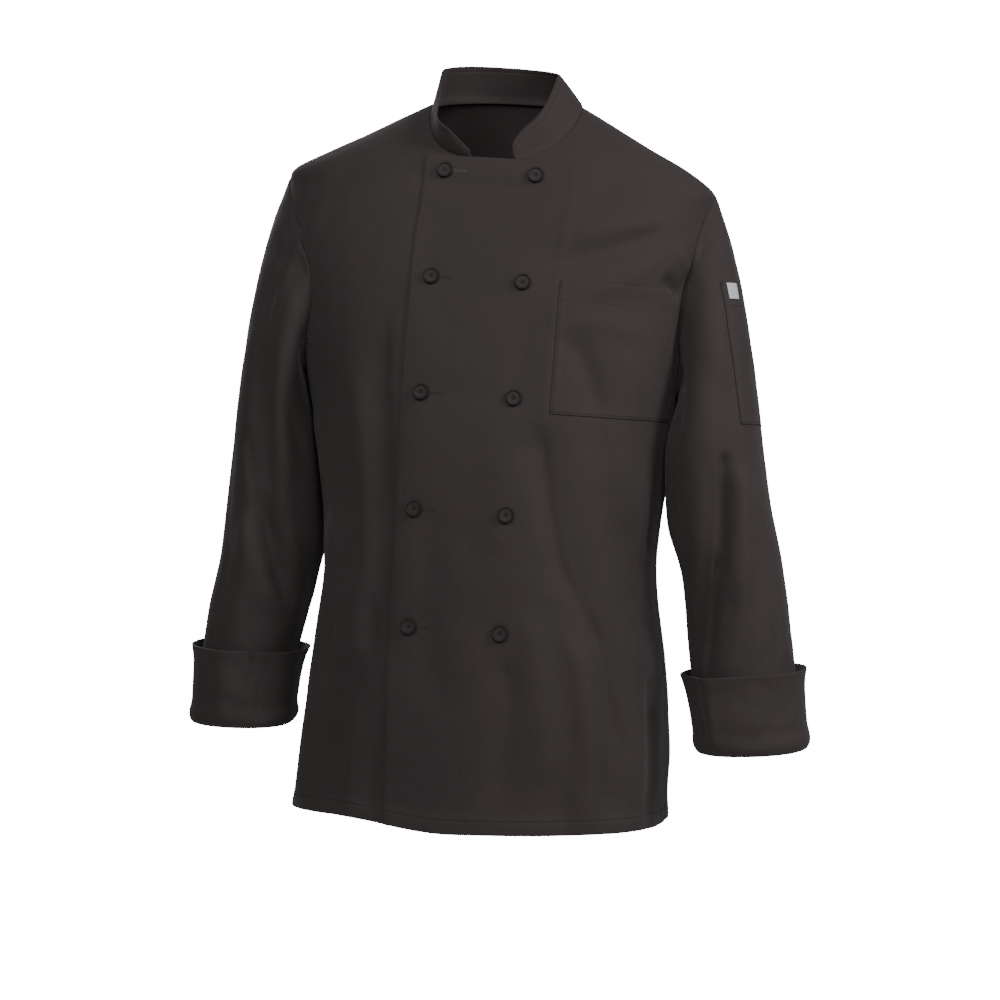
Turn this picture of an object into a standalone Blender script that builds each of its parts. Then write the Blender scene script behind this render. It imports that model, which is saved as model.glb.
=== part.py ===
"""A worn double-breasted chef jacket, each cut piece a closed cloth wall of its own.

Frame: metres, +Z up. The wearer faces -Y and the wearer's left is +X. The origin is the
middle of the neck base, level with the inner ends of the shoulder seams. Heights in the
body's tables are those of an upright body, and each level then falls towards the wearer's
left by its drop. Angles around the body start at the wearer's left side seam and reach
the centre front at a quarter turn.
"""

import math
from typing import NamedTuple

import bmesh
import bpy
import numpy as np
from mathutils import Matrix, Vector

# Cloth
WALL = 0.0014
BAND_WALL = 0.0020
SEAM_GAP = 0.0003
LAY = WALL + SEAM_GAP
SLEEVE_SEAM_GAP = 0.0005

# Body
BODY_SQUARENESS = 2.6
HEM_HEIGHT = -0.770
NECK_DROP = 0.0655
NECK_HALF_WIDTH = 0.0825
NECK_END_ANGLE = math.radians(73)
LEFT_NECK_POWER = 2.0
RIGHT_NECK_POWER = 2.6
FLAP_TOP = -NECK_DROP * math.sin(NECK_END_ANGLE)
BACK_NECK_RISE = 0.012
BACK_NECK_REACH = 0.060
SHOULDER_HEIGHT = -0.083
UNDERARM_HEIGHT = -0.295

# Double-breasted front, measured from the centre front
OVERLAP = 0.0715
COLLAR_END = NECK_HALF_WIDTH * math.cos(NECK_END_ANGLE)
POCKET_EDGE = 0.0875
FRONT_LINES = (POCKET_EDGE, OVERLAP, 0.046, COLLAR_END, 0.0, -COLLAR_END, -0.046, -OVERLAP)
LIFT_FADE = 0.030

# Collar
COLLAR_HEIGHT = 0.036
COLLAR_END_ROUND = 0.034
COLLAR_END_SHARE = 0.25
COLLAR_TOP_SHARE = 0.78
COLLAR_MIDDLE = 0.004
COLLAR_LEAN = -0.0090
COLLAR_FALL_REACH = 0.080
COLLAR_FALL = 0.42
COLLAR_FALL_GAIN = 0.15
COLLAR_DIP = 0.010
COLLAR_DIP_REACH = 0.110
COLLAR_ROWS = 3

# Buttons
BUTTON_RADIUS = 0.0086
BUTTON_HEIGHT = 0.0034
BUTTON_SEAT = 0.0006
BUTTON_COLUMN = 0.049
BUTTON_HEIGHTS = (-0.0785, -0.1930, -0.3148, -0.4362, -0.5585)

# Pockets
CHEST_POCKET_BOTTOM = -0.3285
SLEEVE_POCKET_TOP = -0.195
SLEEVE_POCKET_BOTTOM = -0.345
SLEEVE_POCKET_COLUMNS = (0, 1, 2, 3)
LABEL_TOP = -0.196
LABEL_BOTTOM = -0.213
LABEL_COLUMNS = (1, 2, 3)

# Sleeves
SLEEVE_SQUARENESS = 2.2
SLEEVE_REST_GAP = 0.004
SLEEVE_REST_ROUND = 0.010
CUFF_ROOM_LENGTH = 0.22
WRIST_SLANT = (0.3, -0.6)
CAP_SINK = 0.03
CAP_SEAM_SHARE = 0.2
CAP_BULGE = 0.35
CAP_STEPS = (0.0, 0.06, 0.16, 0.275, 0.42, 0.56, 0.72, 0.89, 1.0)
CUFF_HEIGHT = 0.082

# How finely the cloth is divided
SKIRT_ROWS = 13
ARMHOLE_ROWS = 12
ARM_COLUMNS = 2 * ARMHOLE_ROWS
NECK_ROWS = 7
YOKE_LINE = -0.070
SIDE_COLUMNS = 8
BACK_COLUMNS = 18
FOREARM_ROWS = 11
SLEEVE_POCKET_ROWS = 6
BUTTON_SIDES = 12
SMALL_STEP = 1e-4
MERGE_DISTANCE = 1e-6
SMOOTH_ANGLE = math.radians(50)


class ArmholeEdge(NamedTuple):
    """One edge of an armhole: its widest depth, and how much lower than its middle that is."""

    widest: float
    skew: float


LEFT_FRONT_EDGE = ArmholeEdge(widest=0.044, skew=1.0)
RIGHT_FRONT_EDGE = ArmholeEdge(widest=0.078, skew=1.3)
BACK_EDGE = ArmholeEdge(widest=0.058, skew=1.0)


class BodyRing(NamedTuple):
    """One level of the body: its middle, its half sizes, its drop to the left, its rise to the
    right and where the centre front lies from its middle."""

    height: float
    middle_x: float
    middle_y: float
    half_width: float
    front: float
    back: float
    drop: float
    rise: float
    front_line: float


BODY = (
    #        height   mid_x    mid_y   width   front   back    drop   rise   front_line
    BodyRing(-0.770, -0.0200, -0.021, 0.2005, 0.144, 0.140, 0.000, 0.0145, -0.0018),
    BodyRing(-0.700, -0.0140, -0.021, 0.1980, 0.144, 0.138, 0.040, 0.0050, -0.0068),
    BodyRing(-0.600, -0.0090, -0.021, 0.1900, 0.142, 0.130, 0.058, 0.0000, -0.0098),
    BodyRing(-0.480, -0.0070, -0.021, 0.1775, 0.136, 0.118, 0.065, 0.0000, -0.0078),
    BodyRing(-0.380, -0.0070, -0.018, 0.1890, 0.130, 0.118, 0.070, 0.0000, -0.0043),
    BodyRing(-0.310, -0.0080, -0.014, 0.2000, 0.124, 0.122, 0.070, 0.0000, -0.0003),
    BodyRing(-0.250, -0.0080, -0.010, 0.2120, 0.118, 0.122, 0.072, 0.0000, 0.0025),
    BodyRing(-0.200, -0.0080, -0.006, 0.2210, 0.112, 0.118, 0.075, 0.0000, 0.0045),
    BodyRing(-0.150, -0.0070, -0.003, 0.2300, 0.101, 0.112, 0.075, 0.0000, 0.0055),
    BodyRing(-0.100, -0.0030, 0.000, 0.2335, 0.083, 0.101, 0.075, 0.0000, 0.0050),
    BodyRing(-0.083, -0.0010, 0.000, 0.2325, 0.076, 0.096, 0.075, 0.0000, 0.0030),
    BodyRing(-0.060, 0.0050, 0.000, 0.1975, 0.067, 0.088, 0.072, 0.0000, -0.0010),
    BodyRing(-0.040, 0.0060, 0.000, 0.1585, 0.053, 0.081, 0.070, 0.0000, 0.0000),
    BodyRing(-0.020, 0.0060, 0.000, 0.1210, 0.034, 0.073, 0.070, 0.0000, 0.0000),
    BodyRing(0.000, 0.0060, 0.000, 0.0825, 0.012, 0.063, 0.070, 0.0000, 0.0000),
)
RISE_REACH = 0.14


class Fold(NamedTuple):
    """A soft ridge, or a trough where its depth is negative, between two places on the cloth."""

    start_turn: float
    start_height: float
    end_turn: float
    end_height: float
    width: float
    depth: float


BODY_FOLDS = (
    # from degrees, height, to degrees, height, width, depth
    Fold(136, -0.30, 133, -0.52, 0.020, -0.006),
    Fold(126, -0.30, 124, -0.60, 0.020, 0.004),
    Fold(114, -0.32, 115, -0.58, 0.018, -0.004),
    Fold(148, -0.46, 150, -0.76, 0.028, 0.006),
    Fold(128, -0.60, 130, -0.76, 0.024, -0.004),
    Fold(64, -0.36, 52, -0.49, 0.022, -0.005),
    Fold(52, -0.49, 40, -0.56, 0.022, -0.006),
    Fold(40, -0.56, 38, -0.74, 0.022, -0.005),
    Fold(52, -0.57, 52, -0.76, 0.024, 0.005),
    Fold(26, -0.46, 26, -0.72, 0.024, 0.005),
    Fold(-35, -0.42, -30, -0.76, 0.028, 0.007),
    Fold(-62, -0.50, -58, -0.76, 0.028, -0.006),
    Fold(-90, -0.45, -88, -0.76, 0.030, 0.006),
    Fold(-118, -0.50, -122, -0.76, 0.028, -0.006),
    Fold(-146, -0.42, -150, -0.76, 0.028, 0.007),
)
LEFT_ARM_FOLDS = (
    Fold(62, -0.30, 72, -0.40, 0.016, -0.004),
    Fold(72, -0.40, 108, -0.49, 0.015, -0.006),
    Fold(108, -0.49, 136, -0.585, 0.015, -0.006),
    Fold(50, -0.40, 80, -0.52, 0.016, 0.005),
    Fold(262, -0.36, 300, -0.44, 0.016, -0.006),
    Fold(250, -0.43, 290, -0.50, 0.015, 0.005),
)
RIGHT_ARM_FOLDS = (
    Fold(60, -0.17, 98, -0.42, 0.015, -0.005),
    Fold(84, -0.20, 118, -0.40, 0.016, 0.004),
    Fold(88, -0.43, 128, -0.515, 0.015, -0.006),
    Fold(74, -0.45, 108, -0.54, 0.015, 0.004),
    Fold(262, -0.34, 298, -0.42, 0.016, -0.006),
    Fold(252, -0.42, 292, -0.49, 0.015, 0.005),
)
BODY_GIRTH = 0.17
ARM_GIRTH = 0.063
FOLD_FADE = 0.035
ARM_FOLD_FADE = 0.06


class ArmRing(NamedTuple):
    """One level of a sleeve: its middle, its half width and its half depth."""

    height: float
    middle_x: float
    middle_y: float
    half_width: float
    half_depth: float


class Arm(NamedTuple):
    """One sleeve: its side of the body, how far its cap swells, the ends of its cap and of
    itself, its levels and its folds.
    """

    side: int
    cap_reach: float
    cap_end: float
    lower_end: float
    rings: tuple
    folds: tuple


LEFT_ARM = Arm(
    side=1,
    cap_reach=0.36,
    cap_end=-0.375,
    lower_end=-0.6865,
    rings=(
        #       height    mid_x   mid_y   width   depth
        ArmRing(-0.690, 0.2800, -0.055, 0.0555, 0.050),
        ArmRing(-0.603, 0.2680, -0.046, 0.0555, 0.054),
        ArmRing(-0.5805, 0.2650, -0.043, 0.0555, 0.056),
        ArmRing(-0.5315, 0.2590, -0.036, 0.0540, 0.062),
        ArmRing(-0.490, 0.2535, -0.031, 0.0530, 0.067),
        ArmRing(-0.446, 0.2450, -0.026, 0.0520, 0.071),
        ArmRing(-0.397, 0.2370, -0.022, 0.0520, 0.074),
        ArmRing(-0.321, 0.2320, -0.020, 0.0480, 0.076),
    ),
    folds=LEFT_ARM_FOLDS,
)
RIGHT_ARM = Arm(
    side=-1,
    cap_reach=0.42,
    cap_end=-0.350,
    lower_end=-0.668,
    rings=(
        ArmRing(-0.6700, -0.2770, -0.055, 0.0550, 0.050),
        ArmRing(-0.5795, -0.2700, -0.044, 0.0530, 0.056),
        ArmRing(-0.5465, -0.2640, -0.039, 0.0550, 0.059),
        ArmRing(-0.5055, -0.2550, -0.033, 0.0550, 0.064),
        ArmRing(-0.4215, -0.2475, -0.023, 0.0520, 0.072),
        ArmRing(-0.3366, -0.2420, -0.020, 0.0480, 0.076),
        ArmRing(-0.3000, -0.2400, -0.020, 0.0460, 0.076),
    ),
    folds=RIGHT_ARM_FOLDS,
)


class CuffTurn(NamedTuple):
    """One line around a cuff: how far out of the sleeve and how far up its two faces lie."""

    outer_out: float
    outer_up: float
    inner_out: float
    inner_up: float


CUFF_TURNS = (
    CuffTurn(-0.0014, 0.0000, -0.0014, 0.0020),
    CuffTurn(0.0020, 0.0000, 0.0012, 0.0022),
    CuffTurn(0.0045, 0.0030, 0.0024, 0.0045),
    CuffTurn(0.0052, 0.0250, 0.0031, 0.0252),
    CuffTurn(0.0068, 0.0500, 0.0047, 0.0502),
    CuffTurn(0.0092, 0.0700, 0.0072, 0.0703),
    CuffTurn(0.0120, CUFF_HEIGHT, 0.0100, CUFF_HEIGHT + 0.0003),
)
SLEEVE_END_UP = 0.0027

COLOURS = {
    "cloth": (0.030, 0.026, 0.026, 1.0),
    "button": (0.022, 0.020, 0.020, 1.0),
    "label": (0.55, 0.56, 0.58, 1.0),
}
ROUGHNESS = {"cloth": 0.85, "button": 0.6, "label": 0.5}


def unit(vectors):
    """The same directions at length one."""
    return vectors / np.linalg.norm(vectors, axis=-1, keepdims=True)


def ease(share):
    """A smooth step from 0 to 1."""
    share = np.clip(share, 0.0, 1.0)
    return share * share * (3.0 - 2.0 * share)


def column(table, name, height):
    """One column of a table of levels, as a smooth curve read at the given heights."""
    knots = np.array([row.height for row in table])
    values = np.array([getattr(row, name) for row in table])
    slopes = np.gradient(values, knots)
    index = np.clip(np.searchsorted(knots, height) - 1, 0, len(knots) - 2)
    span = knots[index + 1] - knots[index]
    share = np.clip((height - knots[index]) / span, 0.0, 1.0)
    rise = ease(share)
    start_pull = share * (1.0 - share) ** 2 * span * slopes[index]
    end_pull = share**2 * (share - 1.0) * span * slopes[index + 1]
    return values[index] * (1.0 - rise) + values[index + 1] * rise + start_pull + end_pull


def signed_power(value, power):
    """A power that keeps the sign of what it raises."""
    return np.sign(value) * np.abs(value) ** power


def fold_rise(folds, girth, turn, height):
    """How far the folds lift the cloth at the given angles and heights."""
    rise = np.zeros(np.broadcast(turn, height).shape)
    for fold in folds:
        start = np.array([girth * math.radians(fold.start_turn), fold.start_height])
        end = np.array([girth * math.radians(fold.end_turn), fold.end_height])
        length = np.linalg.norm(end - start)
        forward = (end - start) / length
        from_start = (girth * turn - start[0]) * forward[0] + (height - start[1]) * forward[1]
        aside = (girth * turn - start[0]) * forward[1] - (height - start[1]) * forward[0]
        ends = ease(from_start / FOLD_FADE + 0.5) * ease((length - from_start) / FOLD_FADE + 0.5)
        rise = rise + fold.depth * ends * np.exp(-((aside / fold.width) ** 2))
    return rise


def body_point(turn, height):
    """The cloth's outer face on the body, at an angle around it and an upright height."""
    turn, height = np.broadcast_arrays(np.asarray(turn, float), np.asarray(height, float))
    power = 2.0 / BODY_SQUARENESS
    across = signed_power(np.cos(turn), power)
    ahead = signed_power(np.sin(turn), power)
    reach = np.where(ahead > 0.0, column(BODY, "front", height), column(BODY, "back", height))
    rise = fold_rise(BODY_FOLDS, BODY_GIRTH, turn, height)
    beside = column(BODY, "half_width", height) * across + rise * np.cos(turn)
    x = column(BODY, "middle_x", height) + beside
    y = column(BODY, "middle_y", height) - reach * ahead - rise * np.sin(turn)
    back_rise = BACK_NECK_RISE * ease(1.0 + height / BACK_NECK_REACH) * np.maximum(-ahead, 0.0)
    lean = column(BODY, "rise", height) * ease(-beside / RISE_REACH)
    z = height + back_rise + lean - column(BODY, "drop", height) * beside
    return np.stack([x, y, z], axis=-1)


def body_normal(turn, height):
    """The direction out of the cloth on the body."""
    around = body_point(turn + SMALL_STEP, height) - body_point(turn - SMALL_STEP, height)
    upward = body_point(turn, height + SMALL_STEP) - body_point(turn, height - SMALL_STEP)
    return unit(np.cross(upward, around))


def turn_from_side(beside, height, side):
    """The angle from a side seam to the line this far from the centre front, on its own side."""
    middle = side * column(BODY, "front_line", height) + beside
    return np.arccos(signed_power(middle / column(BODY, "half_width", height), BODY_SQUARENESS / 2))


def turn_at_depth(depth, reach):
    """The angle from a side seam at which the cloth lies this far before or behind it."""
    return np.arcsin((depth / reach) ** (BODY_SQUARENESS / 2))


def armhole_depth(edge, down):
    """How far an armhole's edge lies from the side line, at a share of the way down it."""
    return np.maximum(edge.widest * np.sin(math.pi * down**edge.skew), SEAM_GAP / 2)


def down_armhole(height):
    """The share of the way down the armhole, 0 at and above its top and 1 at and below its foot."""
    middle = (SHOULDER_HEIGHT + UNDERARM_HEIGHT) / 2
    half = (SHOULDER_HEIGHT - UNDERARM_HEIGHT) / 2
    return np.arccos(np.clip((height - middle) / half, -1.0, 1.0)) / math.pi


def neck_turn(height, side):
    """The angle from a side seam to the neckline at the given height on the front."""
    down = -height / NECK_DROP
    power = LEFT_NECK_POWER if side > 0 else RIGHT_NECK_POWER
    beside = NECK_HALF_WIDTH * (1.0 - down**power) ** (1.0 / power)
    middle = beside + side * down * column(BODY, "front_line", height)
    return np.arccos(signed_power(middle / column(BODY, "half_width", height), BODY_SQUARENESS / 2))


def neck_heights():
    """The heights of the front neckline's points, from the flap's top to the shoulder seam."""
    return -NECK_DROP * np.sin(np.linspace(NECK_END_ANGLE, 0.0, NECK_ROWS + 1))


def body_heights():
    """The rows of the body's panels, from the hem to the inner ends of the shoulder seams."""
    skirt = np.linspace(HEM_HEIGHT, CHEST_POCKET_BOTTOM, SKIRT_ROWS + 1)
    steps = np.linspace(math.pi, 0.0, ARMHOLE_ROWS + 1)
    middle = (SHOULDER_HEIGHT + UNDERARM_HEIGHT) / 2
    armhole = middle + (SHOULDER_HEIGHT - UNDERARM_HEIGHT) / 2 * np.cos(steps)
    return np.concatenate([skirt, armhole, [YOKE_LINE], neck_heights()])


def front_turns(heights, side):
    """Angles from its side seam of a front panel's points, a row for each height."""
    rows = []
    neck_row = len(heights) - 1 - NECK_ROWS
    lines = SIDE_COLUMNS + FRONT_LINES.index(COLLAR_END)
    for index, height in enumerate(heights):
        depth = armhole_depth(LEFT_FRONT_EDGE if side > 0 else RIGHT_FRONT_EDGE, down_armhole(height))
        edge = turn_at_depth(depth, column(BODY, "front", height))
        if index <= neck_row:
            inner = turn_from_side(np.array(FRONT_LINES), height, side)
            outer = edge + (inner[0] - edge) * np.arange(SIDE_COLUMNS) / SIDE_COLUMNS
            row = np.concatenate([outer, inner])
            shares = (row[: lines + 1] - edge) / (row[lines] - edge)
        else:
            neck = neck_turn(height, side)
            row = np.full(SIDE_COLUMNS + len(FRONT_LINES), neck)
            row[: lines + 1] = edge + (neck - edge) * shares
        rows.append(row)
    return np.array(rows), neck_row, lines


def back_turns(heights):
    """Angles around the body of the back's points, a row for each height."""
    depth = armhole_depth(BACK_EDGE, down_armhole(heights))
    edge = turn_at_depth(depth, column(BODY, "back", heights))[:, None]
    shares = np.linspace(0.0, 1.0, BACK_COLUMNS + 1)
    return -math.pi + edge + (math.pi - 2 * edge) * shares


def wall_faces(cells, wrap, inward):
    """Triangles of a closed wall: its outer face, its inner face and its rims."""
    rows, columns = cells.shape
    width = columns if wrap else columns + 1
    layer = (rows + 1) * width

    def index(row, col, inner=False):
        return row * width + col % width + (layer if inner else 0)

    def present(row, col):
        if wrap:
            col %= columns
        return 0 <= row < rows and 0 <= col < columns and cells[row, col]

    faces = []
    for row, col in zip(*np.nonzero(cells)):
        corners = ((row, col), (row, col + 1), (row + 1, col + 1), (row + 1, col))
        beyond = ((row - 1, col), (row, col + 1), (row + 1, col), (row, col - 1))
        a, b, c, d = (index(*corner) for corner in corners)
        e, f, g, h = (index(*corner, inner=True) for corner in corners)
        faces += [(a, b, c), (a, c, d), (e, g, f), (e, h, g)]
        for step in range(4):
            if present(*beyond[step]):
                continue
            start, end = corners[step], corners[(step + 1) % 4]
            p, q = index(*start), index(*end)
            r, s = index(*start, inner=True), index(*end, inner=True)
            faces += [(q, p, r), (q, r, s)]
    return [face[::-1] for face in faces] if inward else faces


def wall(name, outer, inner, material, cells=None, wrap=False, inward=False):
    """A closed cloth wall between two grids of points that share rows and columns."""
    rows, columns = outer.shape[:2]
    if cells is None:
        cells = np.ones((rows - 1, columns if wrap else columns - 1), bool)
    points = np.concatenate([outer.reshape(-1, 3), inner.reshape(-1, 3)])
    mesh = bpy.data.meshes.new(name)
    mesh.from_pydata(points.tolist(), [], wall_faces(cells, wrap, inward))
    obj = finish_object(name, mesh, material)
    tidy_mesh(mesh)
    return obj


def tidy_mesh(mesh):
    """Joins coincident points, drops the loose ones and shades the cloth smooth."""
    shape = bmesh.new()
    shape.from_mesh(mesh)
    bmesh.ops.remove_doubles(shape, verts=shape.verts, dist=MERGE_DISTANCE)
    loose = [point for point in shape.verts if not point.link_faces]
    bmesh.ops.delete(shape, geom=loose, context="VERTS")
    shape.to_mesh(mesh)
    shape.free()
    mesh.shade_smooth()
    mesh.set_sharp_from_angle(angle=SMOOTH_ANGLE)


def finish_object(name, mesh, material):
    """An object for this mesh, with its material, in the scene."""
    obj = bpy.data.objects.new(name, mesh)
    bpy.context.scene.collection.objects.link(obj)
    mesh.materials.append(material)
    return obj


def make_material(name):
    """A plain surface in one of the jacket's colours."""
    material = bpy.data.materials.new(name)
    material.use_nodes = True
    shader = material.node_tree.nodes["Principled BSDF"]
    shader.inputs["Base Color"].default_value = COLOURS[name]
    shader.inputs["Roughness"].default_value = ROUGHNESS[name]
    shader.inputs["Metallic"].default_value = 0.0
    return material


def front_grid(side):
    """Angles, heights, lift and cells of one front panel, in columns of growing angle."""
    heights = body_heights()
    from_side, neck_row, lines = front_turns(heights, side)
    height_grid = np.repeat(heights[:, None], from_side.shape[1], axis=1)
    cells = np.ones((len(heights) - 1, from_side.shape[1] - 1), bool)
    cells[neck_row:, lines:] = False
    if side > 0:
        lift = np.where(np.arange(from_side.shape[1]) > SIDE_COLUMNS, LAY, 0.0)
        fade = 1.0 - ease((heights - heights[neck_row]) / LIFT_FADE)
        return from_side, height_grid, lift[None, :] * fade[:, None], cells
    turns = math.pi - from_side[:, ::-1]
    return turns, height_grid, np.zeros_like(turns), cells[:, ::-1]


def body_wall(name, turns, heights, lift, cells, material):
    """A panel of the body, and the grid of its outer points and of their normals."""
    normals = body_normal(turns, heights)
    outer = body_point(turns, heights) + normals * lift[..., None]
    wall(name, outer, outer - normals * WALL, material, cells, inward=True)
    return outer, normals


def neckline():
    """The neckline's points, from the right front's end round the back to the left front's."""
    heights = neck_heights()[:-1]
    back = back_turns(np.zeros(1))[0]
    right, left = (neck_turn(heights, side) for side in (-1, 1))
    right[0], left[0] = (turn_from_side(COLLAR_END, FLAP_TOP, side) for side in (-1, 1))
    turns = np.concatenate([math.pi - right, back, left[::-1]])
    return body_point(turns, np.concatenate([heights, np.zeros_like(back), heights[::-1]]))


def make_collar(material):
    """The stand collar: it leans in from the neckline, falls open at its right end and is
    rounded off at both ends.
    """
    foot = neckline()
    foot[:, 2] += SEAM_GAP
    run = np.concatenate([[0.0], np.cumsum(np.linalg.norm(np.diff(foot, axis=0), axis=1))])
    fall = ease(1.0 - run / COLLAR_FALL_REACH)
    middle = np.array([BODY[-1].middle_x, COLLAR_MIDDLE, 0.0])
    spread = (COLLAR_TOP_SHARE + COLLAR_FALL * fall)[:, None]
    top = foot + (foot - middle) * (spread - 1.0) * np.array([1.0, 1.0, 0.0])
    top[:, 0] += COLLAR_LEAN * (1.0 - fall)
    from_end = np.minimum(run, run[-1] - run)
    dip = COLLAR_DIP * ease(1.0 - from_end / COLLAR_DIP_REACH)
    top[:, 2] += (COLLAR_HEIGHT - dip) * (1.0 + COLLAR_FALL_GAIN * fall)
    corner = 1.0 - np.clip(1.0 - from_end / COLLAR_END_ROUND, 0.0, 1.0) ** 2
    share = COLLAR_END_SHARE + (1.0 - COLLAR_END_SHARE) * np.sqrt(corner)
    rows = np.linspace(0.0, 1.0, COLLAR_ROWS + 1)[:, None, None]
    outer = foot + (top - foot) * share[:, None] * rows
    inward = unit((middle - foot) * np.array([1.0, 1.0, 0.0]))
    wall("collar", outer, outer + inward * BAND_WALL, material, inward=True)


def arm_frame(arm, height):
    """The middle of a sleeve, the way up it, and its directions outward and to the front."""
    x = column(arm.rings, "middle_x", height)
    y = column(arm.rings, "middle_y", height)
    above = height + SMALL_STEP
    x_slope = (column(arm.rings, "middle_x", above) - x) / SMALL_STEP
    y_slope = (column(arm.rings, "middle_y", above) - y) / SMALL_STEP
    level = ease((arm.cap_end - height) / (arm.cap_end - arm.lower_end))
    x_slope = x_slope * (1.0 - (1.0 - WRIST_SLANT[0]) * level)
    y_slope = y_slope * (1.0 - (1.0 - WRIST_SLANT[1]) * level)
    axis = unit(np.stack([x_slope, y_slope, np.ones_like(x)], axis=-1))
    ahead = np.array([0.0, -1.0, 0.0])
    front = unit(ahead - axis * (axis @ ahead)[..., None])
    return np.stack([x, y, height], axis=-1), axis, np.cross(axis, front) * arm.side, front


def arm_point(arm, angle, height, out=0.0):
    """A sleeve's outer face at an angle around the arm, or a place out from it."""
    angle, height = np.broadcast_arrays(angle, height)
    middle, axis, outward, front = arm_frame(arm, height)
    power = 2.0 / SLEEVE_SQUARENESS
    across = column(arm.rings, "half_width", height) + out
    ahead = column(arm.rings, "half_depth", height) + out
    point = middle + outward * (across * signed_power(np.cos(angle), power))[..., None]
    return point + front * (ahead * signed_power(np.sin(angle), power))[..., None]


def armhole(arm, angle):
    """The armhole's edge, its normal and the direction across it, at angles around the arm."""
    middle = (SHOULDER_HEIGHT + UNDERARM_HEIGHT) / 2
    height = middle + (SHOULDER_HEIGHT - UNDERARM_HEIGHT) / 2 * np.cos(angle)
    down = np.minimum(angle, 2 * math.pi - angle) / math.pi
    front = angle < math.pi
    front_edge = LEFT_FRONT_EDGE if arm.side > 0 else RIGHT_FRONT_EDGE
    depth = np.where(front, armhole_depth(front_edge, down), armhole_depth(BACK_EDGE, down))
    reach = np.where(front, column(BODY, "front", height), column(BODY, "back", height))
    turn = turn_at_depth(depth, reach) * np.where(front, 1.0, -1.0)
    if arm.side < 0:
        turn = np.where(front, math.pi - turn, -math.pi - turn)
    return body_point(turn, height), body_normal(turn, height)


def rest_beside_body(points, arm, gap):
    """Keeps a sleeve's points outside the body, softly, by the given gap."""
    height = points[..., 2] + arm.side * 0.2 * column(BODY, "drop", points[..., 2])
    away = points[..., 1] - column(BODY, "middle_y", height)
    reach = np.where(away < 0.0, column(BODY, "front", height), column(BODY, "back", height))
    share = np.clip(np.abs(away) / reach, 0.0, 1.0) ** BODY_SQUARENESS
    half = column(BODY, "half_width", height) * (1.0 - share) ** (1.0 / BODY_SQUARENESS)
    limit = arm.side * column(BODY, "middle_x", height) + half + gap
    outward = arm.side * points[..., 0]
    pushed = (outward + limit + np.sqrt((outward - limit) ** 2 + SLEEVE_REST_ROUND**2)) / 2
    kept = np.where(half > 0.0, pushed, outward)
    result = points.copy()
    result[..., 0] = arm.side * kept
    return result


def rest_gap(arm, height, out=0.0):
    """How far a sleeve, or what is turned out from it, keeps from the body at a height."""
    room = CUFF_TURNS[-1].outer_out * ease((arm.cap_end - height) / CUFF_ROOM_LENGTH)
    return SLEEVE_REST_GAP + room - out


def grid_normals(points, side):
    """Directions out of a sleeve at the points of its grid."""
    around = np.roll(points, -1, axis=1) - np.roll(points, 1, axis=1)
    return unit(np.cross(around, np.gradient(points, axis=0))) * side


def sleeve_grid(arm):
    """A sleeve's outer points, rows from the armhole to the wrist, and their normals."""
    angles = np.arange(ARM_COLUMNS) * 2 * math.pi / ARM_COLUMNS
    edge, edge_normal = armhole(arm, angles)
    tangent = unit(np.roll(edge, -1, axis=0) - np.roll(edge, 1, axis=0))
    start = edge + unit(np.cross(edge_normal, tangent)) * arm.side * SLEEVE_SEAM_GAP
    cap_end = arm_point(arm, angles, np.full_like(angles, arm.cap_end))
    below = arm_point(arm, angles, np.full_like(angles, arm.cap_end - 0.02))
    span = np.linalg.norm(cap_end - start, axis=-1, keepdims=True)
    sideways, ahead = np.full_like(angles, arm.cap_reach * arm.side), -CAP_BULGE * np.sin(angles)
    leave = unit(np.stack([sideways, ahead, np.full_like(angles, -1.0)], axis=-1)) * span
    arrive = unit(below - cap_end) * span
    steps = np.array(CAP_STEPS)[:, None, None]
    cap = start * (1.0 - ease(steps)) + cap_end * ease(steps)
    cap = cap + leave * steps * (1.0 - steps) ** 2 + arrive * steps**2 * (steps - 1.0)
    heights = np.linspace(arm.cap_end, arm.lower_end + SLEEVE_END_UP, FOREARM_ROWS + 1)[1:]
    points = np.concatenate([cap, arm_point(arm, angles[None, :], heights[:, None])])

    rise = fold_rise(arm.folds, ARM_GIRTH, angles[None, :], points[..., 2])
    rise = rise * ease((points[..., 2] - arm.lower_end) / ARM_FOLD_FADE - 1.0)
    rise[0] = 0.0
    points = points + grid_normals(points, arm.side) * rise[..., None]
    from_seam = ease(steps[:, :, 0] / CAP_SEAM_SHARE)
    gaps = np.concatenate([
        SLEEVE_REST_GAP * from_seam - CAP_SINK * (1.0 - from_seam),
        rest_gap(arm, heights[:, None]),
    ])
    outer = rest_beside_body(points, arm, gaps)
    outer[0] = start
    normals = grid_normals(outer, arm.side)
    shared = np.clip((normals[0] * edge_normal).sum(-1, keepdims=True), 0.0, 1.0) ** 0.5
    normals[0] = unit(normals[0] * (1.0 - shared) + edge_normal * shared)
    return outer, normals


def make_cuff(name, arm, material):
    """A cuff: the sleeve's end turned out and up over itself, and open at the top."""
    angles = np.arange(ARM_COLUMNS) * 2 * math.pi / ARM_COLUMNS
    faces = []
    for face in ("outer", "inner"):
        out = np.array([getattr(turn, face + "_out") for turn in CUFF_TURNS])[:, None]
        up = np.array([getattr(turn, face + "_up") for turn in CUFF_TURNS])[:, None]
        heights = np.full((len(CUFF_TURNS), ARM_COLUMNS), arm.lower_end)
        points = arm_point(arm, angles[None, :], heights + up, out)
        faces.append(rest_beside_body(points, arm, rest_gap(arm, heights + up, out)))
    wall(name, faces[0], faces[1], material, wrap=True, inward=arm.side > 0)


def lay_on(name, points, normals, material, inward, gap=LAY):
    """A flat piece that lies on a panel, made from the panel's points moved out."""
    outer = points + normals * gap
    wall(name, outer, outer - normals * WALL, material, inward=inward)


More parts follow.
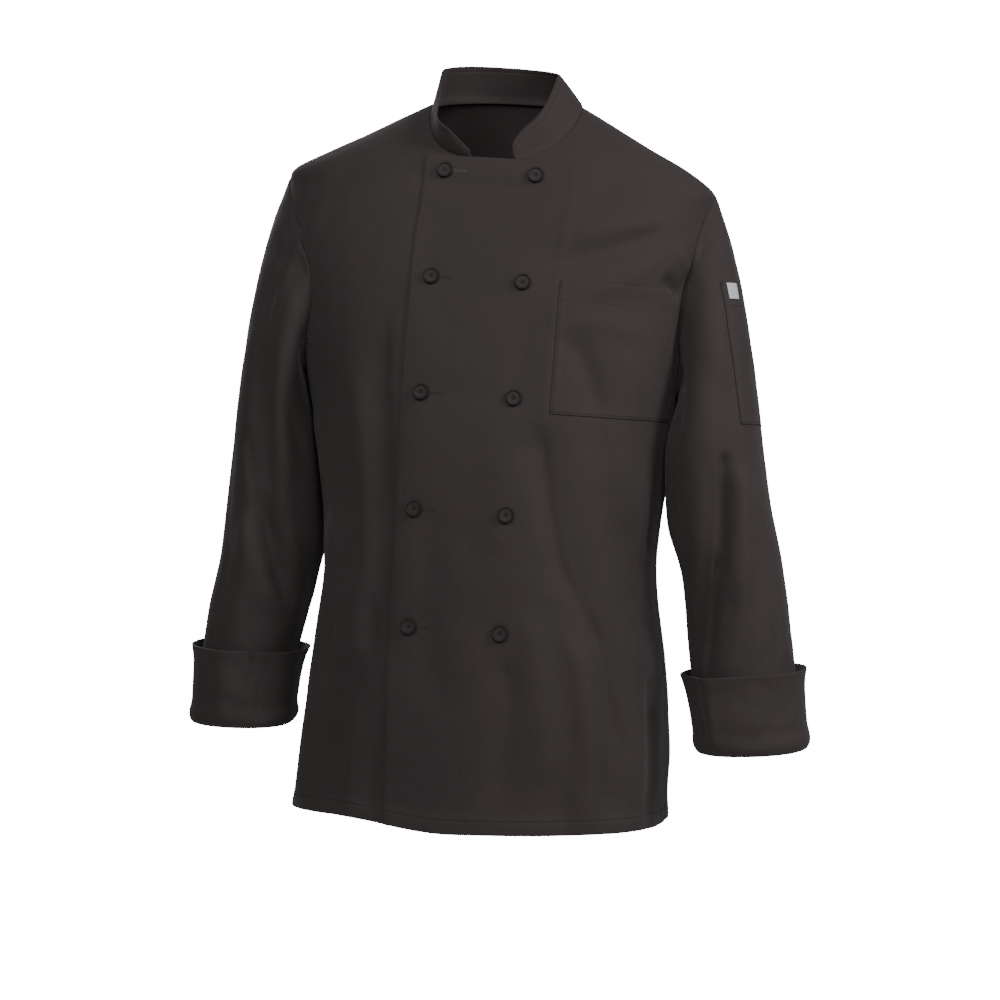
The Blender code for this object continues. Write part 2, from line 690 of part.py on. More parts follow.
def level_rows(grid, normals, columns, levels):
    """Points and normals on a grid's own columns, at the given heights."""
    points = np.empty((len(levels), len(columns), 3))
    out = np.empty_like(points)
    for place, index in enumerate(columns):
        for axis in range(3):
            down = -grid[:, index, 2]
            points[:, place, axis] = np.interp(-levels, down, grid[:, index, axis])
            out[:, place, axis] = np.interp(-levels, down, normals[:, index, axis])
    return points, unit(out)


def make_sleeve_pocket(grid, normals, cloth, woven):
    """The narrow pocket on the left sleeve, with a bare tab on it."""
    levels = np.linspace(SLEEVE_POCKET_TOP, SLEEVE_POCKET_BOTTOM, SLEEVE_POCKET_ROWS + 1)
    points, out = level_rows(grid, normals, SLEEVE_POCKET_COLUMNS, levels)
    lay_on("sleeve_pocket", points, out, cloth, False)
    points, out = level_rows(grid, normals, LABEL_COLUMNS, np.array([LABEL_TOP, LABEL_BOTTOM]))
    for values in (points, out):
        values[:, ::2] = (values[:, ::2] + values[:, 1:2]) / 2
    lay_on("sleeve_label", points, out, woven, False, 2 * LAY + SEAM_GAP)


def make_button_mesh(material):
    """A round button: a low disc with a raised rim and a dished middle."""
    profile = (
        (0.0, 0.0),
        (0.80 * BUTTON_RADIUS, 0.0),
        (BUTTON_RADIUS, 0.50 * BUTTON_HEIGHT),
        (0.86 * BUTTON_RADIUS, BUTTON_HEIGHT),
        (0.64 * BUTTON_RADIUS, 0.72 * BUTTON_HEIGHT),
        (0.0, 0.66 * BUTTON_HEIGHT),
    )
    shape = bmesh.new()
    points = [shape.verts.new((radius, 0.0, up)) for radius, up in profile]
    edges = [shape.edges.new(pair) for pair in zip(points, points[1:])]
    bmesh.ops.spin(
        shape,
        geom=points + edges,
        cent=(0, 0, 0),
        axis=(0, 0, 1),
        angle=2 * math.pi,
        steps=BUTTON_SIDES,
        use_merge=True,
    )
    bmesh.ops.remove_doubles(shape, verts=shape.verts, dist=MERGE_DISTANCE)
    bmesh.ops.recalc_face_normals(shape, faces=shape.faces)
    mesh = bpy.data.meshes.new("button")
    shape.to_mesh(mesh)
    shape.free()
    mesh.shade_smooth()
    mesh.set_sharp_from_angle(angle=SMOOTH_ANGLE)
    mesh.materials.append(material)
    return mesh


def make_buttons(material):
    """Ten buttons in two columns on the front that lies on top."""
    mesh = make_button_mesh(material)
    for row, height in enumerate(BUTTON_HEIGHTS):
        for side, word in ((1, "left"), (-1, "right")):
            turn = turn_from_side(np.array(side * BUTTON_COLUMN), height, 1)
            normal = body_normal(turn, height)
            seat = body_point(turn, height) + normal * (LAY + BUTTON_SEAT)
            button = bpy.data.objects.new(f"button_{row + 1}_{word}", mesh)
            bpy.context.scene.collection.objects.link(button)
            facing = Vector(normal).to_track_quat("Z", "Y").to_matrix().to_4x4()
            button.matrix_world = Matrix.Translation(Vector(seat)) @ facing


def main():
    """Clears the scene and makes every piece of the jacket."""
    for obj in list(bpy.data.objects):
        bpy.data.objects.remove(obj, do_unlink=True)
    cloth, plastic, woven = (make_material(name) for name in COLOURS)
    heights = body_heights()

    turns = back_turns(heights)
    height_grid = np.repeat(heights[:, None], turns.shape[1], axis=1)
    cells = np.ones((turns.shape[0] - 1, turns.shape[1] - 1), bool)
    body_wall("back", turns, height_grid, np.zeros_like(turns), cells, cloth)
    body_wall("front_right", *front_grid(-1), cloth)
    left_turns, left_heights, lift, cells = front_grid(1)
    front, front_normals = body_wall("front_left", left_turns, left_heights, lift, cells, cloth)

    rows = slice(SKIRT_ROWS, SKIRT_ROWS + ARMHOLE_ROWS // 2 + 2)
    columns = slice(1, SIDE_COLUMNS + 1)
    lay_on("chest_pocket", front[rows, columns], front_normals[rows, columns], cloth, True)

    make_collar(cloth)
    for word, arm in (("left", LEFT_ARM), ("right", RIGHT_ARM)):
        grid, normals = sleeve_grid(arm)
        inside = grid - normals * WALL
        wall(f"sleeve_{word}", grid, inside, cloth, wrap=True, inward=arm.side < 0)
        make_cuff(f"cuff_{word}", arm, cloth)
        if arm is LEFT_ARM:
            make_sleeve_pocket(grid, normals, cloth, woven)
    make_buttons(plastic)


main()
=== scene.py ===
"""A worn double-breasted chef jacket: its fine cloth, its sewing and its finishes.

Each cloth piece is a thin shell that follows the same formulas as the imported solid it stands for,
with more rows and columns, finer creases, rounded edges and its own cloth coordinates. Stitches,
buttonholes and bar tacks are real threads laid on that cloth.

Frame: metres, +Z up. The wearer faces -Y and the wearer's left is +X. The origin is the middle of
the neck base. Heights in the body's tables are those of an upright body, and each level then falls
towards the wearer's left by its drop. Angles around the body start at the wearer's left side seam
and reach the centre front at a quarter turn.
"""

from __future__ import annotations

import logging
import math
from dataclasses import dataclass, field
from enum import Enum

import bmesh
import bpy
import numpy as np
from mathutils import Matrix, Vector

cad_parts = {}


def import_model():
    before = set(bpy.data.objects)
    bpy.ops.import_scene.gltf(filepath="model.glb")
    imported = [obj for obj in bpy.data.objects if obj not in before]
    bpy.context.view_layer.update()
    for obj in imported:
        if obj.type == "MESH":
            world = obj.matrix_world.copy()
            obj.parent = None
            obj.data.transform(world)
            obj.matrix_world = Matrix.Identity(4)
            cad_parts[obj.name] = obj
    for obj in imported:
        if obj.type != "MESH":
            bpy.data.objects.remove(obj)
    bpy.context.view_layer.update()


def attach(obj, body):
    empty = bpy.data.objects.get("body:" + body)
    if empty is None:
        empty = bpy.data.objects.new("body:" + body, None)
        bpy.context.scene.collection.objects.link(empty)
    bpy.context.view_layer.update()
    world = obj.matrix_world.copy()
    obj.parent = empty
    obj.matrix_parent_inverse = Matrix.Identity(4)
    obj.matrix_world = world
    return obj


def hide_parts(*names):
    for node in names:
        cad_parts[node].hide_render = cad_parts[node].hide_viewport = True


LOG = logging.getLogger("chef_jacket")
Array = np.ndarray
Socket = bpy.types.NodeSocket
Colour = tuple[float, float, float, float]

BODY_NAME = "root"
CLOTH_MAP = "cloth"
SEAM_ATTRIBUTE = "seam"
OUT_ATTRIBUTE = "out"
PAINTED_SHADE_ATTRIBUTE = "shade"
FAR = 1.0

# Cloth and its gaps
WALL = 0.0014
BAND_WALL = 0.0020
PATCH_WALL = 0.0009
PATCH_LAY = PATCH_WALL + 0.0003
SEAM_GAP = 0.0003
LAY = WALL + SEAM_GAP
SLEEVE_SEAM_GAP = 0.0005
TUCK = 0.0024
TUCK_REACH = 0.0030
EDGE_ROUNDING = 0.00035
ROUNDING_ANGLE = math.radians(62)
SEAM_LINE = 0.0004

# Body
BODY_SQUARENESS = 2.6
HEM_HEIGHT = -0.770
NECK_DROP = 0.0655
NECK_HALF_WIDTH = 0.0825
NECK_END_ANGLE = math.radians(73)
LEFT_NECK_POWER = 2.0
RIGHT_NECK_POWER = 2.6
FLAP_TOP = -NECK_DROP * math.sin(NECK_END_ANGLE)
BACK_NECK_RISE = 0.012
BACK_NECK_REACH = 0.060
SHOULDER_HEIGHT = -0.083
UNDERARM_HEIGHT = -0.295
ARMHOLE_MIDDLE = (SHOULDER_HEIGHT + UNDERARM_HEIGHT) / 2
ARMHOLE_HALF = (SHOULDER_HEIGHT - UNDERARM_HEIGHT) / 2
RISE_REACH = 0.14
LIFT_FADE = 0.030

# Where the back's edges pass under the fronts: clear of the armholes and of the neck
UNDER_CLEAR = 0.002
UNDER_NECK = -0.004
UNDER_FADE_BELOW = 0.008
UNDER_FADE_ABOVE = 0.006

# Double-breasted front, measured from the centre front
OVERLAP = 0.0715
COLLAR_END = NECK_HALF_WIDTH * math.cos(NECK_END_ANGLE)
POCKET_EDGE = 0.0875
CHEST_POCKET_BOTTOM = -0.3285

# How finely the cloth is divided
CLOTH_STEP = 0.0034
SKIRT_ROWS = 126
BELOW_ROWS = 10
ARMHOLE_ROWS = 72
YOKE_ROWS = 5
NECK_ROWS = 26
SIDE_COLUMNS = 64
BACK_COLUMNS = 132
ARM_COLUMNS = 2 * ARMHOLE_ROWS
CAP_ROWS = 78
FOREARM_ROWS = 100
EDGE_SPREAD = 0.45
SMALL_STEP = 1e-4
SAME_PLACE = 1e-6

# The numbers that pick the patterns of the cloth's unevenness
BODY_SEED = 11
POCKET_SEED = 17
HEM_SEED = 23
FLAP_SEED = 31
COLLAR_SEED = 41


class Side(Enum):
    """The wearer's left or right, by the sign of X there."""

    LEFT = 1
    RIGHT = -1

    @property
    def word(self) -> str:
        """The side as it stands in the nodes' names."""
        return self.name.lower()


class Rim(Enum):
    """One rim of a grid of cloth."""

    FIRST_COLUMN = "first column"
    LAST_COLUMN = "last column"
    FIRST_ROW = "first row"
    LAST_ROW = "last row"

    @property
    def is_row(self) -> bool:
        """Whether it is a row of the grid, not a column."""
        return self in (Rim.FIRST_ROW, Rim.LAST_ROW)

    @property
    def comes_first(self) -> bool:
        """Whether it is the grid's first row or column."""
        return self in (Rim.FIRST_ROW, Rim.FIRST_COLUMN)


class Held(Enum):
    """How a sheet of cloth is held on the wearer."""

    DRAPED = "draped"
    LAID = "laid"
    FOLDED = "folded"


# ---- Small mathematics ----


def unit(vectors: Array) -> Array:
    """The same directions at length one."""
    return vectors / np.maximum(np.linalg.norm(vectors, axis=-1, keepdims=True), 1e-12)


def ease(share: Array | float) -> Array:
    """A smooth step from 0 to 1."""
    share = np.clip(share, 0.0, 1.0)
    return share * share * (3.0 - 2.0 * share)


def bell(away: Array) -> Array:
    """A hump of height one that falls away on both sides of nought."""
    return np.exp(-(away**2))


def signed_power(value: Array, power: float) -> Array:
    """A power that keeps the sign of what it raises."""
    return np.sign(value) * np.abs(value) ** power


def column(table: tuple, name: str, height: Array) -> Array:
    """One column of a table of levels, as a smooth curve read at the given heights.

    Args:
        table: rows that each have a height, in rising or falling order.
        name: the column's name.
        height: where to read it.

    Returns:
        The column's value at each height.
    """
    knots = np.array([row.height for row in table])
    values = np.array([getattr(row, name) for row in table])
    slopes = np.gradient(values, knots)
    index = np.clip(np.searchsorted(knots, height) - 1, 0, len(knots) - 2)
    span = knots[index + 1] - knots[index]
    share = np.clip((height - knots[index]) / span, 0.0, 1.0)
    rise = ease(share)
    start_pull = share * (1.0 - share) ** 2 * span * slopes[index]
    end_pull = share**2 * (share - 1.0) * span * slopes[index + 1]
    return values[index] * (1.0 - rise) + values[index + 1] * rise + start_pull + end_pull


def soft_noise(across: Array, along: Array, seed: int) -> Array:
    """Smooth noise from -1 to 1, with one bump or hollow to each unit of its coordinates.

    Args:
        across: the first coordinate, in cells.
        along: the second coordinate, in cells.
        seed: the number that picks the pattern.

    Returns:
        The noise at each place.
    """
    cells = 64
    lattice = np.random.default_rng(seed).uniform(-1.0, 1.0, (cells, cells))
    column_index, row_index = np.floor(across).astype(int), np.floor(along).astype(int)
    x, y = ease(across - column_index), ease(along - row_index)
    left, right = column_index % cells, (column_index + 1) % cells
    low, high = row_index % cells, (row_index + 1) % cells
    lower = lattice[low, left] * (1.0 - x) + lattice[low, right] * x
    upper = lattice[high, left] * (1.0 - x) + lattice[high, right] * x
    return lower * (1.0 - y) + upper * y


@dataclass(frozen=True)
class Crease:
    """A soft ridge, or a trough where its depth is negative, between two places on the cloth.

    Its middle bows aside, one of its flanks may be steeper, and it fades at both ends.
    """

    start_turn: float
    start_height: float
    end_turn: float
    end_height: float
    width: float
    depth: float
    bow: float = 0.0
    lean: float = 0.0
    fade: float = 0.035

    def rise(self, girth: float, turn: Array, height: Array) -> Array:
        """How far it lifts the cloth.

        Args:
            girth: metres of cloth for each radian of turn.
            turn: angles around the piece, in radians.
            height: heights on the piece.

        Returns:
            The lift at each place, in metres.
        """
        start = np.array([girth * math.radians(self.start_turn), self.start_height])
        end = np.array([girth * math.radians(self.end_turn), self.end_height])
        length = float(np.linalg.norm(end - start))
        forward = (end - start) / length
        from_start = (girth * turn - start[0]) * forward[0] + (height - start[1]) * forward[1]
        aside = (girth * turn - start[0]) * forward[1] - (height - start[1]) * forward[0]
        along = np.clip(from_start / length, 0.0, 1.0)
        aside = aside - 4.0 * self.bow * along * (1.0 - along)
        width = self.width * (1.0 + self.lean * np.tanh(aside / self.width))
        ends = ease(from_start / self.fade + 0.5) * ease((length - from_start) / self.fade + 0.5)
        return self.depth * ends * bell(aside / width)


def creases_rise(creases: tuple[Crease, ...], girth: float, turn: Array, height: Array) -> Array:
    """How far all the creases together lift the cloth at the given angles and heights."""
    rise = np.zeros(np.broadcast(turn, height).shape)
    for crease in creases:
        rise = rise + crease.rise(girth, turn, height)
    return rise


# ---- The body's form ----


@dataclass(frozen=True)
class BodyRing:
    """One level of the body: its middle, its half sizes, its drop to the left, its rise to the
    right and where the centre front lies from its middle."""

    height: float
    middle_x: float
    middle_y: float
    half_width: float
    front: float
    back: float
    drop: float
    rise: float
    front_line: float


BODY = (
    #        height   mid_x    mid_y   width   front   back    drop   rise   front_line
    BodyRing(-0.770, -0.0200, -0.021, 0.2005, 0.144, 0.140, 0.000, 0.0145, -0.0018),
    BodyRing(-0.700, -0.0140, -0.021, 0.1980, 0.144, 0.138, 0.040, 0.0050, -0.0068),
    BodyRing(-0.600, -0.0090, -0.021, 0.1900, 0.142, 0.130, 0.058, 0.0000, -0.0098),
    BodyRing(-0.480, -0.0070, -0.021, 0.1775, 0.136, 0.118, 0.065, 0.0000, -0.0078),
    BodyRing(-0.380, -0.0070, -0.018, 0.1890, 0.130, 0.118, 0.070, 0.0000, -0.0043),
    BodyRing(-0.310, -0.0080, -0.014, 0.2000, 0.124, 0.122, 0.070, 0.0000, -0.0003),
    BodyRing(-0.250, -0.0080, -0.010, 0.2120, 0.118, 0.122, 0.072, 0.0000, 0.0025),
    BodyRing(-0.200, -0.0080, -0.006, 0.2210, 0.112, 0.118, 0.075, 0.0000, 0.0045),
    BodyRing(-0.150, -0.0070, -0.003, 0.2300, 0.101, 0.112, 0.075, 0.0000, 0.0055),
    BodyRing(-0.100, -0.0030, 0.000, 0.2335, 0.083, 0.101, 0.075, 0.0000, 0.0050),
    BodyRing(-0.083, -0.0010, 0.000, 0.2325, 0.076, 0.096, 0.075, 0.0000, 0.0030),
    BodyRing(-0.060, 0.0050, 0.000, 0.1975, 0.067, 0.088, 0.072, 0.0000, -0.0010),
    BodyRing(-0.040, 0.0060, 0.000, 0.1585, 0.053, 0.081, 0.070, 0.0000, 0.0000),
    BodyRing(-0.020, 0.0060, 0.000, 0.1210, 0.034, 0.073, 0.070, 0.0000, 0.0000),
    BodyRing(0.000, 0.0060, 0.000, 0.0825, 0.012, 0.063, 0.070, 0.0000, 0.0000),
)

BODY_GIRTH = 0.17
BODY_CREASES = (
    # The main folds, as on the solids: from degrees, height, to degrees, height, width, depth
    Crease(136, -0.30, 133, -0.52, 0.022, -0.0040),
    Crease(125, -0.30, 124, -0.60, 0.024, 0.0022),
    Crease(113, -0.32, 115, -0.58, 0.018, -0.0026),
    Crease(148, -0.46, 150, -0.76, 0.028, 0.006),
    Crease(128, -0.60, 130, -0.76, 0.024, -0.004),
    Crease(72, -0.35, 59, -0.49, 0.020, -0.0034),
    Crease(57, -0.49, 45, -0.57, 0.022, -0.0034),
    Crease(45, -0.57, 43, -0.74, 0.022, -0.0046),
    Crease(52, -0.57, 52, -0.76, 0.024, 0.005),
    Crease(26, -0.56, 26, -0.72, 0.026, 0.0022),
    Crease(-35, -0.42, -30, -0.76, 0.028, 0.007),
    Crease(-62, -0.50, -58, -0.76, 0.028, -0.006),
    Crease(-90, -0.45, -88, -0.76, 0.030, 0.006),
    Crease(-118, -0.50, -122, -0.76, 0.028, -0.006),
    Crease(-146, -0.42, -150, -0.76, 0.028, 0.007),
)
FINE_BODY_CREASES = (
    # Drag lines from the left armhole towards the chest
    Crease(70, -0.134, 40, -0.119, 0.0150, 0.0046, bow=0.003, fade=0.060),
    Crease(74, -0.172, 40, -0.128, 0.0130, -0.0054, bow=-0.003, lean=0.2, fade=0.060),
    Crease(66, -0.204, 38, -0.156, 0.0120, 0.0026, bow=-0.003),
    Crease(60, -0.076, 38, -0.086, 0.0130, -0.0030, bow=0.003),
    Crease(33, -0.179, 21, -0.194, 0.0078, -0.0074, lean=0.2, fade=0.018),
    Crease(30, -0.146, 20, -0.168, 0.0085, 0.0040, fade=0.024),
    Crease(20, -0.160, 14, -0.262, 0.0060, -0.0034, fade=0.030),
    # The under front's edge shows through the flap
    Crease(72.5, -0.050, 72, -0.350, 0.0034, 0.0009, fade=0.060),
    # On and under the pocket, and down to the hem on the left
    Crease(67, -0.250, 52, -0.316, 0.0130, -0.0036, bow=0.003),
    Crease(66, -0.228, 38, -0.238, 0.0110, 0.0016),
    Crease(46, -0.262, 36, -0.330, 0.0120, 0.0020, bow=0.003),
    Crease(73, -0.350, 61, -0.500, 0.0110, -0.0034, bow=-0.003, lean=-0.4),
    Crease(61, -0.490, 47, -0.560, 0.0100, -0.0020, lean=-0.4, fade=0.040),
    Crease(48, -0.550, 38, -0.670, 0.0100, -0.0032, bow=-0.004, lean=-0.3, fade=0.050),
    Crease(62, -0.270, 31, -0.496, 0.0150, -0.0020, bow=0.002, lean=-0.4, fade=0.080),
    Crease(36, -0.430, 18, -0.545, 0.0200, -0.0042, bow=0.004, fade=0.070),
    Crease(26, -0.392, 16, -0.452, 0.0110, 0.0022, bow=0.003),
    Crease(75, -0.545, 69, -0.705, 0.0150, 0.0032, bow=0.004),
    Crease(60, -0.560, 54, -0.700, 0.0110, 0.0022, bow=0.005),
    Crease(18, -0.360, 10, -0.470, 0.0110, -0.0024, bow=0.004),
    Crease(20, -0.600, 18, -0.765, 0.0130, -0.0030, bow=-0.003),
    Crease(47, -0.690, 46, -0.768, 0.0110, -0.0022),
    Crease(61, -0.715, 61, -0.768, 0.0100, -0.0014),
    # The flap
    Crease(102, -0.089, 79, -0.094, 0.0110, -0.0026, bow=-0.004),
    Crease(81.5, -0.590, 81, -0.730, 0.0110, -0.0022, bow=0.003),
    Crease(90, -0.560, 88, -0.762, 0.0140, 0.0018, bow=0.005),
    Crease(98, -0.430, 95, -0.640, 0.0140, -0.0018, bow=-0.004),
    Crease(100, -0.110, 97, -0.240, 0.0120, -0.0012, bow=0.003),
    Crease(86, -0.330, 82, -0.470, 0.0160, 0.0016, bow=0.003),
    Crease(78, -0.200, 79, -0.330, 0.0110, -0.0012, bow=-0.003),
    # The right front: from the shoulder to the hem
    Crease(122, -0.085, 152, -0.150, 0.0110, -0.0020, bow=-0.004, lean=0.3),
    Crease(133, -0.115, 156, -0.185, 0.0100, 0.0018, bow=0.003),
    Crease(111, -0.250, 114.5, -0.530, 0.0125, -0.0036, bow=-0.002, lean=-0.6, fade=0.080),
    Crease(120, -0.530, 116, -0.590, 0.0110, -0.0028, lean=-0.5, fade=0.040),
    Crease(142, -0.545, 139, -0.745, 0.0120, -0.0032, bow=0.004),
    Crease(121, -0.640, 119, -0.765, 0.0110, 0.0022, bow=-0.003),
    Crease(111, -0.690, 111, -0.768, 0.0090, -0.0018),
    Crease(162, -0.350, 160, -0.500, 0.0120, 0.0026, bow=0.003),
    # The back
    Crease(-40, -0.130, -75, -0.210, 0.0120, -0.0040, bow=0.004, lean=0.3),
    Crease(-36, -0.165, -68, -0.245, 0.0110, 0.0030, bow=0.003),
    Crease(-142, -0.125, -106, -0.205, 0.0120, -0.0038, bow=-0.004, lean=-0.3),
    Crease(-146, -0.170, -112, -0.255, 0.0100, 0.0030, bow=-0.003),
    Crease(-78, -0.280, -72, -0.470, 0.0140, -0.0046, bow=0.005),
    Crease(-103, -0.300, -108, -0.480, 0.0140, -0.0048, bow=-0.005),
    Crease(-46, -0.560, -44, -0.765, 0.0120, 0.0040, bow=0.003),
    Crease(-134, -0.570, -136, -0.765, 0.0120, 0.0036, bow=-0.003),
    Crease(-20, -0.330, -26, -0.450, 0.0110, -0.0044, bow=0.003),
    Crease(-160, -0.330, -154, -0.450, 0.0110, -0.0040, bow=-0.003),
)
DRAPE_CELL = (0.060, 0.150)
DRAPE_DEPTH = 0.0014
RUMPLE_CELL = (0.022, 0.034)
RUMPLE_DEPTH = 0.00048
HEM_FLARE = 0.0022
HEM_REACH = 0.030
HEM_PUCKER = 0.016
PUCKER_HEIGHT = 0.05
PUCKER_SHARE = 0.45
RUMPLE_TOP = -0.02
RUMPLE_FADE = 0.05


def rumple(across: Array, along: Array, seed: int) -> Array:
    """The slight unevenness of worn cloth: long soft waves and smaller rumples.

    Args:
        across: metres across the grain.
        along: metres along the grain.
        seed: the number that picks the pattern.

    Returns:
        The lift at each place, in metres.
    """
    waves = soft_noise(across / DRAPE_CELL[0], along / DRAPE_CELL[1], seed)
    small = soft_noise(across / RUMPLE_CELL[0] + 7.3, along / RUMPLE_CELL[1] + 2.9, seed + 1)
    return DRAPE_DEPTH * waves + RUMPLE_DEPTH * small


def body_relief(turn: Array, height: Array) -> Array:
    """How far creases and rumples lift the body's cloth."""
    rise = creases_rise(BODY_CREASES + FINE_BODY_CREASES, BODY_GIRTH, turn, height)
    around = BODY_GIRTH * (turn + math.pi)
    worn = rumple(around, height + 1.0, BODY_SEED)
    puckers = soft_noise(around / HEM_PUCKER, height / PUCKER_HEIGHT, HEM_SEED)
    hem = HEM_FLARE * ease(1.0 - (height - HEM_HEIGHT) / HEM_REACH) * (1.0 + PUCKER_SHARE * puckers)
    return rise + worn * ease((RUMPLE_TOP - height) / RUMPLE_FADE) + hem


def body_point(turn: Array, height: Array) -> Array:
    """The cloth's outer face on the body, at an angle around it and an upright height."""
    turn, height = np.broadcast_arrays(np.asarray(turn, float), np.asarray(height, float))
    power = 2.0 / BODY_SQUARENESS
    across = signed_power(np.cos(turn), power)
    ahead = signed_power(np.sin(turn), power)
    reach = np.where(ahead > 0.0, column(BODY, "front", height), column(BODY, "back", height))
    rise = body_relief(turn, height)
    beside = column(BODY, "half_width", height) * across + rise * np.cos(turn)
    x = column(BODY, "middle_x", height) + beside
    y = column(BODY, "middle_y", height) - reach * ahead - rise * np.sin(turn)
    back_rise = BACK_NECK_RISE * ease(1.0 + height / BACK_NECK_REACH) * np.maximum(-ahead, 0.0)
    lean = column(BODY, "rise", height) * ease(-beside / RISE_REACH)
    z = height + back_rise + lean - column(BODY, "drop", height) * beside
    return np.stack([x, y, z], axis=-1)


def body_normal(turn: Array, height: Array) -> Array:
    """The direction out of the cloth on the body."""
    around = body_point(turn + SMALL_STEP, height) - body_point(turn - SMALL_STEP, height)
    upward = body_point(turn, height + SMALL_STEP) - body_point(turn, height - SMALL_STEP)
    return unit(np.cross(upward, around))


def turn_beside(beside: Array, height: Array) -> Array:
    """The angle from a side seam to the cloth this far from the body's middle."""
    share = beside / column(BODY, "half_width", height)
    return np.arccos(signed_power(share, BODY_SQUARENESS / 2))


def turn_from_side(beside: Array, height: Array, side: Side) -> Array:
    """The angle from a side seam to the line this far from the centre front, on its own side."""
    return turn_beside(side.value * column(BODY, "front_line", height) + beside, height)


def turn_at_depth(depth: Array, reach: Array) -> Array:
    """The angle from a side seam at which the cloth lies this far before or behind it."""
    return np.arcsin((depth / reach) ** (BODY_SQUARENESS / 2))


@dataclass(frozen=True)
class ArmholeEdge:
    """One edge of an armhole: its widest depth, and how much lower than its middle that is."""

    widest: float
    skew: float

    def depth(self, down: Array) -> Array:
        """How far the edge lies from the side line, at a share of the way down it."""
        return np.maximum(self.widest * np.sin(math.pi * down**self.skew), SEAM_GAP / 2)


FRONT_EDGES = {Side.LEFT: ArmholeEdge(0.044, 1.0), Side.RIGHT: ArmholeEdge(0.078, 1.3)}
BACK_EDGE = ArmholeEdge(0.058, 1.0)


def down_armhole(height: Array) -> Array:
    """The share of the way down the armhole, 0 at and above its top and 1 at and below its foot."""
    return np.arccos(np.clip((height - ARMHOLE_MIDDLE) / ARMHOLE_HALF, -1.0, 1.0)) / math.pi


def neck_turn(height: Array, side: Side) -> Array:
    """The angle from a side seam to the neckline at the given height on the front."""
    down = -height / NECK_DROP
    power = LEFT_NECK_POWER if side is Side.LEFT else RIGHT_NECK_POWER
    beside = NECK_HALF_WIDTH * (1.0 - down**power) ** (1.0 / power)
    return turn_beside(beside + side.value * down * column(BODY, "front_line", height), height)


def neck_heights() -> Array:
    """The heights of the front neckline's points, from the flap's top to the shoulder seam."""
    return -NECK_DROP * np.sin(np.linspace(NECK_END_ANGLE, 0.0, NECK_ROWS + 1))


def body_heights(even: bool = False) -> Array:
    """The rows of the body's panels, from the hem to the inner ends of the shoulder seams.

    Args:
        even: whether the rows beside the armhole are evenly spaced, as away from its edge.

    Returns:
        The upright height of each row.
    """
    skirt = np.linspace(HEM_HEIGHT, CHEST_POCKET_BOTTOM, SKIRT_ROWS + 1)[:-1]
    below = np.linspace(CHEST_POCKET_BOTTOM, UNDERARM_HEIGHT, BELOW_ROWS + 1)[:-1]
    share = np.linspace(-1.0, 1.0, ARMHOLE_ROWS + 1)
    if not even:
        share = np.sin(share * math.pi / 2)
    armhole = ARMHOLE_MIDDLE + ARMHOLE_HALF * share
    yoke = np.linspace(SHOULDER_HEIGHT, FLAP_TOP, YOKE_ROWS + 1)[1:-1]
    return np.concatenate([skirt, below, armhole, yoke, neck_heights()])


def spread_heights(nearness: Array) -> Array:
    """Each point's height, from how near its column lies to the armhole's edge."""
    near = ease(nearness)[None, :]
    return body_heights()[:, None] * near + body_heights(even=True)[:, None] * (1.0 - near)


# ---- Grids of cloth ----


@dataclass
class Line:
    """A line on the cloth: its points, and the direction out of the cloth at each."""

    points: Array
    normals: Array

    def moved_out(self, distance: float) -> Line:
        """The same line this far off the cloth."""
        return Line(self.points + self.normals * distance, self.normals)

    def cut(self, start: float = 0.0, end: float = 0.0) -> Line:
        """The same line with these lengths cut off its start and its end."""
        steps = np.linalg.norm(np.diff(self.points, axis=0), axis=1)
        run = np.concatenate([[0.0], np.cumsum(steps)])
        count = max(2, round((run[-1] - start - end) / CLOTH_STEP) + 1)
        places = np.linspace(start, run[-1] - end, count)
        points = np.stack([np.interp(places, run, axis) for axis in self.points.T], axis=-1)
        normals = np.stack([np.interp(places, run, axis) for axis in self.normals.T], axis=-1)
        return Line(points, unit(normals))

    def length(self) -> float:
        """How long the line is."""
        return float(np.linalg.norm(np.diff(self.points, axis=0), axis=1).sum())

    def start(self, length: float) -> Line:
        """Its first stretch, of this length."""
        return self.cut(end=self.length() - length)

    def end(self, length: float) -> Line:
        """Its last stretch, of this length."""
        return self.cut(start=self.length() - length)


